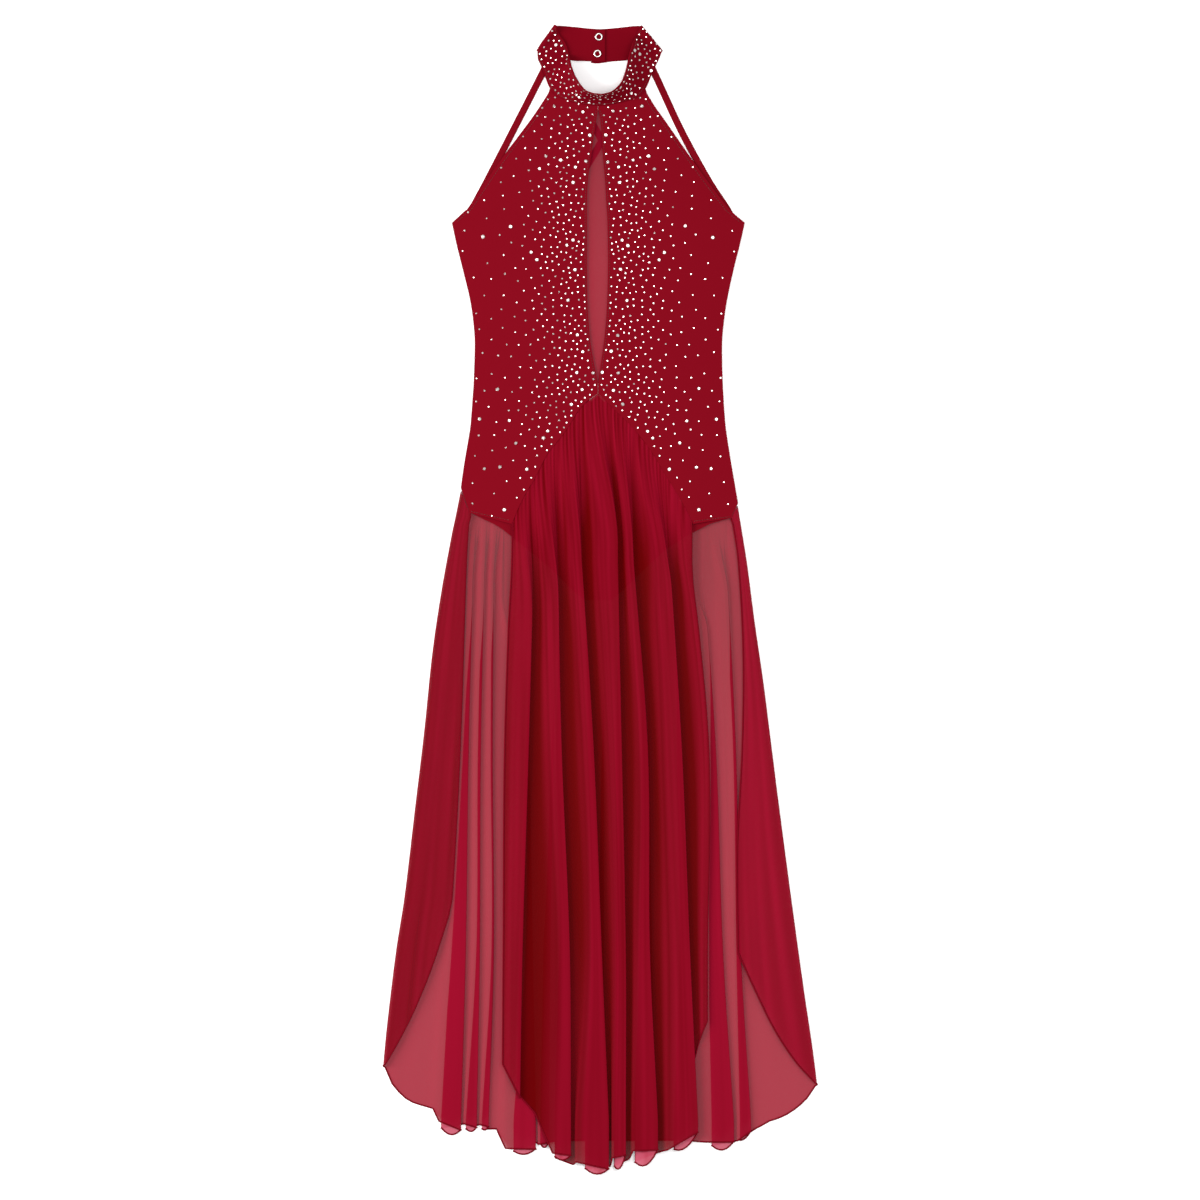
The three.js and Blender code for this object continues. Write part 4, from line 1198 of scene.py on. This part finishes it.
def skirt_back_grid():
    left = side_columns(-1, LEFT_FLAP_EDGE, LEFT_SIDE, LEFT_TOPS, LEFT_FLAP_HEM)
    right = side_columns(1, RIGHT_FLAP_EDGE, RIGHT_SIDE, RIGHT_TOPS, RIGHT_FLAP_HEM)
    low, high = BACK_FOLD_LOW_Z, BACK_FOLD_HIGH_Z

    def turned(y, table, side):
        return eased(table, y) - side * (CHIFFON_WALL / 2 + (FLAP_Z - low) / 2)

    def floor_place(seam_x, fold_x):
        def place(y, share):
            opened = smooth(SIDE_OPENS_AT, SIDE_OPENS_AT + BACK_OPENING[0], share)
            return (mix(seam_x, fold_x(y), opened), low, 0, SINGLE_SHADE)

        return place

    end_seam, cut_seam = BACK_END_SEAM
    last_edge = BACK_FOLDS[-1][1]
    first_start = BACK_FOLDS[0][2]

    def before_folds(t):
        return lambda y: mix(turned(y, LEFT_SIDE, -1), at(first_start, y), t)

    def after_folds(t):
        return lambda y: mix(at(last_edge, y) + AFTER_LAST_EDGE, turned(y, RIGHT_SIDE, 1), t)

    end = {
        "seam": end_seam,
        "hem": RIGHT_FLOOR_HEM[0][1],
        "place": floor_place(end_seam, after_folds(RIGHT_FLOOR_START)),
    }
    middle = []
    for i in range(1, FLOOR_STEPS):
        t = i / FLOOR_STEPS
        seam_x = mix(LEFT_FLOOR_SEAM, BACK_FOLDS[0][0], t)
        middle.append((seam_x, eased(LEFT_FLOOR_HEM, t), floor_place(seam_x, before_folds(t))))
    middle += fold_columns(
        BACK_FOLDS, end, BACK_LAP, BACK_OWN_LAPS, BACK_OPENING, low, high, BACK_SHADE
    )
    for i in range(1, FLOOR_STEPS):
        t = mix(RIGHT_FLOOR_START, RIGHT_FLOOR_END, i / FLOOR_STEPS)
        seam_x = mix(end_seam, cut_seam, t)
        middle.append((seam_x, eased(RIGHT_FLOOR_HEM, t), floor_place(seam_x, after_folds(t))))

    grid, depths = [], []
    for share in row_shares(SKIRT_ROWS, BACK_ROW_POWER):
        line, depth_line = [], []

        def add_flap(columns, shade):
            for c, (top, hem, place) in enumerate(columns):
                y = mix(top, hem, share)
                x, z = place(y)
                line.append((x, y, z))
                across, down, seed = FLAP_STREAK_SCALE
                place_in_noise = Vector((c * across, share * down, shade * seed))
                streak = FLAP_STREAK * noise.noise(place_in_noise)
                turned_under = smooth(*FLOOR_SHADE_RUN, z)
                depth = clamp(mix(shade + streak, SINGLE_SHADE, turned_under))
                depth_line.append(mix(DOUBLED, 1, depth))

        add_flap(left, LEFT_FLAP_SHADE)
        for seam_x, hem, place in middle:
            y = mix(read(BACK_SEAM, seam_x) - SEAM_CLEAR, hem, share)
            x, z, raised, depth = place(y, share)
            line.append((x, y, mix(low, z, raised) + abs(raised * wander(x, y, *BACK_LIE))))
            shade = wander(seam_x, y, *BACK_STREAK) + UPPER_BACK_SHADE * smooth(*UPPER_BACK_RUN, y)
            depth_line.append(mix(DOUBLED, 1, clamp(depth + shade * (depth >= 0), LIT)))
        add_flap(right[::-1], RIGHT_FLAP_SHADE)
        grid.append(line)
        depths.append(depth_line)
    return grid, depths


front_grid, front_depth = skirt_front_grid()
back_grid, back_depth = skirt_back_grid()
skirt_front = sheet_object("skirt_front_chiffon", front_grid, CLOSE_CHIFFON, front_depth)
skirt_back = sheet_object("skirt_back_chiffon", back_grid, CHIFFON, back_depth)

# Rolled hems: one along each panel's lower edge and free sides
HEM_RADIUS = 1.0
HEM_SIDES = 6


def rim_path(grid):
    """Down a panel's left edge, along its hem and up its right edge."""
    left = [row[0] for row in grid]
    right = [row[-1] for row in reversed(grid)]
    return left[:-1] + list(grid[-1]) + right[1:]


front_hem = tube_object("skirt_front_rolled_hem", [rim_path(front_grid)], HEM_RADIUS, HEM, HEM_SIDES)
back_hem = tube_object("skirt_back_rolled_hem", [rim_path(back_grid)], HEM_RADIUS, HEM, HEM_SIDES)

# The two ring snaps
SNAP_PLACES = {"snap_upper": (-1.5, 703.5), "snap_lower": (-3.2, 682.5)}
SNAP_SECTION = [
    # radius, height
    (2.9, 0.0),
    (4.75, 0.0),
    (4.75, 0.8),
    (4.5, 1.15),
    (4.05, 1.3),
    (3.5, 1.3),
    (3.1, 1.1),
    (2.9, 0.7),
]
SNAP_SIDES = 48


def snap_object(name, place):
    """A ring turned from its section."""
    base = COLLAR_LAP_Z + COLLAR_WALL / 2 + SEAM_GAP
    verts, faces = [], []
    ring = len(SNAP_SECTION)
    for k in range(SNAP_SIDES):
        turn = 2 * math.pi * k / SNAP_SIDES
        here, ahead = k * ring, (k + 1) % SNAP_SIDES * ring
        for i, (radius, height) in enumerate(SNAP_SECTION):
            x, y = radius * math.cos(turn), radius * math.sin(turn)
            verts.append((place[0] + x, place[1] + y, base + height))
            after = (i + 1) % ring
            faces.append((here + i, ahead + i, ahead + after, here + after))
    thing = mesh_object(name + "_ring", verts, faces, NICKEL)
    keep_rim_crisp(thing)
    return thing


snaps = {name: snap_object(name, place) for name, place in SNAP_PLACES.items()}

# Cut stones, scattered dense along the keyhole and the round of the seam, thinner to the sides
STONE_SIDES = 8
SMALL_STONE = 1.15
LARGE_STONE = 2.2
LARGE_EVERY = 12
EDGE_MARGIN = 3.2
ROW_REACH = 45
STONE_TRIES = 60000
V_THINNING_START = 258
V_THINNING = 0.6
# Stones thin out a little more between these heights, by this factor
CHEST_THINNING_RUN = (430, 560)
CHEST_THINNING = 1.08
GAP_SPREAD = (0.85, 1.15)
LARGE_EXTRA_GAP = 1.2
SIZE_SPREAD = (0.92, 1.08)
STONE_TILT = 0.06
GLUE = 0.02
MIRROR_SPREAD = 0.5
MIRROR_MARGIN = EDGE_MARGIN * 0.8
STONE_GAPS = [
    # distance from the keyhole and the V seam, gap between stones
    (0, 6.5),
    (35, 6.8),
    (60, 8.8),
    (80, 12.5),
    (110, 17.5),
    (140, 21),
]


STONE_UP = Vector((0, 1, 0.2))
STONE_RINGS = [
    # share of the radius, height as a share of the radius
    (1.0, 0.05),
    (1.0, 0.25),
    (0.58, 0.62),
]


def add_stone(centre, normal, radius, turn, verts, faces):
    """Adds one cut stone to a list of points and faces, with a flat top and a ring of facets."""
    side = normal.cross(STONE_UP).normalized()
    up = side.cross(normal)
    first = len(verts)
    for scale, height in STONE_RINGS:
        for k in range(STONE_SIDES):
            angle = turn + 2 * math.pi * k / STONE_SIDES
            flat = (side * math.cos(angle) + up * math.sin(angle)) * radius * scale
            verts.append(tuple(centre + flat + normal * radius * height))
    faces += ring_faces(first, len(STONE_RINGS), STONE_SIDES)


def distance_to(path, x, y):
    """Distance of a place from the nearest stretch of a path."""
    best = 1e9
    for (ax, ay), (bx, by) in zip(path, path[1:]):
        length = (bx - ax) ** 2 + (by - ay) ** 2
        t = clamp(((x - ax) * (bx - ax) + (y - ay) * (by - ay)) / length) if length else 0
        best = min(best, math.hypot(x - mix(ax, bx, t), y - mix(ay, by, t)))
    return best


def inside(path, x, y):
    """Whether a place lies inside a closed outline."""
    odd = False
    for (ax, ay), (bx, by) in zip(path, path[1:] + path[:1]):
        if (ay > y) != (by > y) and x < ax + (y - ay) / (by - ay) * (bx - ax):
            odd = not odd
    return odd


def outline_of(rows):
    """Down the side edge and up the inner edge of a front."""
    return [(r[0], r[1]) for r in rows] + [(r[2], r[3]) for r in reversed(rows)]


left_fine = fine_rows(LEFT_ROWS)
right_fine = fine_rows(RIGHT_ROWS)
left_outline = outline_of(left_fine)
right_outline = outline_of(right_fine)
keyhole_line = [(r[2], r[3]) for r in left_fine]


def stone_gap(x, y):
    """How far apart the stones are at a place on the left front."""
    below = max(0.0, V_THINNING_START - y) * V_THINNING
    gap = read(STONE_GAPS, distance_to(keyhole_line, x, y) + below)
    return gap * mix(1, CHEST_THINNING, smooth(*CHEST_THINNING_RUN, y))


def scatter_left():
    """Places for stones on the left front, none closer to another than its gap."""
    pick = random.Random(SEED)
    placed = []
    xs = [p[0] for p in left_outline]
    ys = [p[1] for p in left_outline]
    for _ in range(STONE_TRIES):
        x = pick.uniform(min(xs), max(xs))
        y = pick.uniform(min(ys), max(ys))
        if not inside(left_outline, x, y):
            continue
        large = pick.random() < 1 / LARGE_EVERY
        gap = stone_gap(x, y) * pick.uniform(*GAP_SPREAD) + (LARGE_EXTRA_GAP if large else 0)
        if any((x - a) ** 2 + (y - b) ** 2 < (gap * 0.5 + c * 0.5) ** 2 for a, b, c, _ in placed):
            continue
        if distance_to(left_outline + left_outline[:1], x, y) > EDGE_MARGIN:
            placed.append((x, y, gap, large))
    return placed


def on_grid(grid, normals, u, v, lift):
    """A place on a grid at shares u across its columns and v down its rows, with its normal."""
    r, c = v * (len(grid) - 1), u * (len(grid[0]) - 1)
    r0, c0 = min(int(r), len(grid) - 2), min(int(c), len(grid[0]) - 2)
    point, normal = Vector((0, 0, 0)), Vector((0, 0, 0))
    for dr in (0, 1):
        for dc in (0, 1):
            weight = (r - r0 if dr else 1 - r + r0) * (c - c0 if dc else 1 - c + c0)
            point += Vector(grid[r0 + dr][c0 + dc]) * weight
            normal += normals[r0 + dr][c0 + dc] * weight
    normal.normalize()
    return point + normal * lift, normal


def nearest_point(grid, x, y):
    """Row and column of the grid's point nearest to x and y."""
    best = None
    for r, row in enumerate(grid):
        if abs(row[0][1] - y) > ROW_REACH and abs(row[-1][1] - y) > ROW_REACH:
            continue
        for c, (px, py, _) in enumerate(row):
            near = (px - x) ** 2 + (py - y) ** 2
            if best is None or near < best[0]:
                best = (near, r, c)
    return best[1:]


def stones_on_bodice(name, grid, places):
    """Stones glued on a front, each tilted a little."""
    pick = random.Random(SEED + 1)
    normals = grid_normals(grid)
    verts, faces = [], []
    for x, y, _, large in places:
        r, c = nearest_point(grid, x, y)
        near, normal = Vector(grid[r][c]), normals[r][c]
        z = near.z - (normal.x * (x - near.x) + normal.y * (y - near.y)) / normal.z
        radius = (LARGE_STONE if large else SMALL_STONE) * pick.uniform(*SIZE_SPREAD)
        centre = Vector((x, y, z)) + normal * (JERSEY_WALL / 2 + GLUE)
        tilt = Vector((pick.gauss(0, STONE_TILT), pick.gauss(0, STONE_TILT), 0))
        add_stone(centre, (normal + tilt).normalized(), radius, pick.random(), verts, faces)
    return mesh_object(name, verts, faces, CRYSTAL, shade=False)


def mirrored(places):
    """The same stones on the right front, each set a little aside."""
    pick = random.Random(SEED + 2)
    middles = [(row[1] + row[3]) / 2 for row in left_fine]
    out = []
    for x, y, gap, large in places:
        row = min(range(len(left_fine)), key=lambda i: abs(middles[i] - y))
        side_x, _, inner_x, _ = left_fine[row]
        share = clamp((x - side_x) / (inner_x - side_x))
        new_x = mix(right_fine[row][0], right_fine[row][2], share) + pick.gauss(0, MIRROR_SPREAD)
        new_y = y + pick.gauss(0, MIRROR_SPREAD)
        if inside(right_outline, new_x, new_y):
            if distance_to(right_outline + right_outline[:1], new_x, new_y) > MIRROR_MARGIN:
                out.append((new_x, new_y, gap, large))
    return out


left_places = scatter_left()
stones_left = stones_on_bodice("stones_bodice_left", left_grid, left_places)
stones_right = stones_on_bodice("stones_bodice_right", right_grid, mirrored(left_places))

COLLAR_STONE_TRIES = 9000
COLLAR_STONE_GAP = 6.6
COLLAR_GAP_SPREAD = (0.8, 1.25)
# Shares across the collar between which the stones lie
COLLAR_STONE_BAND = (0.06, 0.94)


def stones_on_collar():
    """Stones scattered over the front of the collar."""
    pick = random.Random(SEED + 3)
    normals = grid_normals(collar_grid)
    first = len(collar_start) + 1
    last = len(collar_start) + 2 * len(COLLAR_TURN_ANGLES) + len(collar_front) - 2
    columns = len(collar_grid[0]) - 1
    verts, faces, placed = [], [], []
    for _ in range(COLLAR_STONE_TRIES):
        u = pick.uniform(first, last) / columns
        v = pick.uniform(*COLLAR_STONE_BAND)
        centre, normal = on_grid(collar_grid, normals, u, v, COLLAR_WALL / 2 + GLUE)
        gap = COLLAR_STONE_GAP * pick.uniform(*COLLAR_GAP_SPREAD)
        if all((centre - other).length > gap for other in placed):
            placed.append(centre)
            radius = LARGE_STONE if pick.random() < 1 / LARGE_EVERY else SMALL_STONE
            add_stone(centre, normal, radius, pick.random(), verts, faces)
    return mesh_object("stones_collar", verts, faces, CRYSTAL, shade=False)


stones_collar = stones_on_collar()

# Sewing: short stitches sunk a little into the cloth along an edge
STITCH_LENGTH = 2.4
STITCH_GAP = 0.9
STITCH_RADIUS = 0.3
STITCH_SIDES = 4
STITCH_LIFT = 0.05
STITCH_SHORTEST = 0.5
ARMHOLE_INSET = 5.5
KEYHOLE_INSET = 2.2


def inset_path(grid, edge, inset):
    """A path on a grid's outer surface, inset from its left or right edge."""
    normals = grid_normals(grid)
    out = []
    for r, row in enumerate(grid):
        a, b = (row[0], row[1]) if edge == "left" else (row[-1], row[-2])
        a, b = Vector(a), Vector(b)
        normal = normals[r][0 if edge == "left" else -1]
        out.append(a + (b - a).normalized() * inset + normal * (JERSEY_WALL / 2 + STITCH_LIFT))
    return out


def on_surface(grid, row, columns, wall):
    """A path along one row of a grid, on its outer surface."""
    normals = grid_normals(grid)
    lift = wall / 2 + STITCH_LIFT
    return [Vector(grid[row][c]) + normals[row][c] * lift for c in columns]


def stitches(paths):
    """Cuts paths into runs one stitch long, with a gap between each two."""
    runs = []
    for path in paths:
        points = [Vector(p) for p in path]
        here, left_over, drawing, run = 0.0, STITCH_LENGTH, True, [points[0]]
        for a, b in zip(points, points[1:]):
            length = (b - a).length
            done = 0.0
            while length - done > left_over:
                done += left_over
                cut = a.lerp(b, done / length)
                if drawing:
                    run.append(cut)
                    runs.append(run)
                run = [cut]
                drawing = not drawing
                left_over = STITCH_LENGTH if drawing else STITCH_GAP
            left_over -= length - done
            if drawing:
                run.append(b)
    return [run for run in runs if (run[-1] - run[0]).length > STITCH_SHORTEST]


stitch_paths = []
for grid, side_edge, inner_edge in ((left_grid, "left", "right"), (right_grid, "right", "left")):
    top = KEYHOLE_TOP_ROW * ROW_STEPS
    armhole = inset_path(grid, side_edge, ARMHOLE_INSET)[2 : UNDERARM_ROW * ROW_STEPS + 1]
    keyhole_edge = inset_path(grid, inner_edge, KEYHOLE_INSET)[top : KEYHOLE_END_ROW * ROW_STEPS + 1]
    leg_edge = on_surface(grid, len(grid) - 2, range(1, FRONT_COLUMNS), JERSEY_WALL)
    stitch_paths += [armhole, keyhole_edge, leg_edge]
collar_first = len(collar_start) + len(COLLAR_TURN_ANGLES)
collar_span = range(collar_first, collar_first + len(collar_front))
for row in (1, COLLAR_STEPS - 1):
    stitch_paths.append(on_surface(collar_grid, row, collar_span, COLLAR_WALL))
runs = stitches(stitch_paths)
topstitch = tube_object("topstitch_thread", runs, STITCH_RADIUS, THREAD, STITCH_SIDES)


# What each piece rides on and what it replaces
def place(piece, node, material_slot):
    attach(piece, "root")
    if node:
        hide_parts(node)


place(collar, "collar", "jersey")
place(bodice_left, "bodice_front_left", "jersey")
place(bodice_right, "bodice_front_right", "jersey")
place(keyhole, "keyhole_mesh", "sheer_mesh")
place(bodice_back, "bodice_back", "jersey")
place(brief_back, "brief_back", "jersey")
place(brief_front, "brief_front", "jersey")
place(skirt_front, "skirt_front", "chiffon")
place(skirt_back, "skirt_back", "chiffon")
for name, piece in straps.items():
    place(piece, name, "binding")
for name, piece in snaps.items():
    place(piece, name, "snap_metal")
for hem in (front_hem, back_hem):
    place(hem, None, "chiffon")
for stones in (stones_left, stones_right, stones_collar):
    place(stones, None, "snap_metal")
place(topstitch, None, "jersey")

# Stage: a white surface, a large soft light from the left and a fill from above
FLOOR_HALF = 6.0
FLOOR_Z = -0.0002
# The paper glows a little: painted light that lifts the shade on the paper and on the underside of the
# cloth
PAPER_PAINTED_GLOW = 0.1
WHITE = (1, 1, 1, 1)
PAPER = new_material(
    "white_paper_sweep", "#ffffff", 0.9, Emission_Color=WHITE, Emission_Strength=PAPER_PAINTED_GLOW
)
floor_mesh = bpy.data.meshes.new("white_table")
floor_corners = [(-FLOOR_HALF, -FLOOR_HALF), (FLOOR_HALF, -FLOOR_HALF)]
floor_corners += [(FLOOR_HALF, FLOOR_HALF), (-FLOOR_HALF, FLOOR_HALF)]
floor_mesh.from_pydata([(x, y, FLOOR_Z) for x, y in floor_corners], [], [(0, 1, 2, 3)])
floor_mesh.materials.append(PAPER)
floor = bpy.data.objects.new("white_table", floor_mesh)
bpy.context.scene.collection.objects.link(floor)


def area_light(name, place, size, power):
    """A rectangle of light, power in watts, aimed at the middle of the dress."""
    data = bpy.data.lights.new(name, "AREA")
    data.shape = "RECTANGLE"
    data.size, data.size_y = size
    data.energy = power
    light = bpy.data.objects.new(name, data)
    light.location = place
    light.rotation_euler = (-Vector(place)).to_track_quat("-Z", "Y").to_euler()
    bpy.context.scene.collection.objects.link(light)


area_light("key_left", (-3.2, 0.4, 2.0), (1.2, 2.4), 150)
area_light("fill_above", (0.8, 0.5, 4.2), (2.5, 2.5), 95)
area_light("kicker_right", (2.6, -1.4, 1.6), (0.6, 0.9), 16)

WORLD_STRENGTH = 0.6
LAYERS_SEEN_THROUGH = 24
world = bpy.data.worlds.new("soft_room")
world.use_nodes = True
background = world.node_tree.nodes["Background"]
background.inputs["Color"].default_value = WHITE
background.inputs["Strength"].default_value = WORLD_STRENGTH
scene = bpy.context.scene
scene.world = world
scene.view_settings.view_transform = "Standard"
scene.cycles.transparent_max_bounces = LAYERS_SEEN_THROUGH

# Camera straight above, where the photograph's middle is, 1.5 m across the frame
LENS = 135.0
SENSOR = 36.0
FRAME_WIDTH = 1.5
camera_data = bpy.data.cameras.new("camera")
camera_data.lens = LENS
camera_data.sensor_width = SENSOR
camera = bpy.data.objects.new("camera", camera_data)
distance = FRAME_WIDTH / 2 / (SENSOR / 2 / LENS)
camera.location = (ORIGIN[0] * MM, ORIGIN[1] * MM, distance)
scene.collection.objects.link(camera)
scene.camera = camera
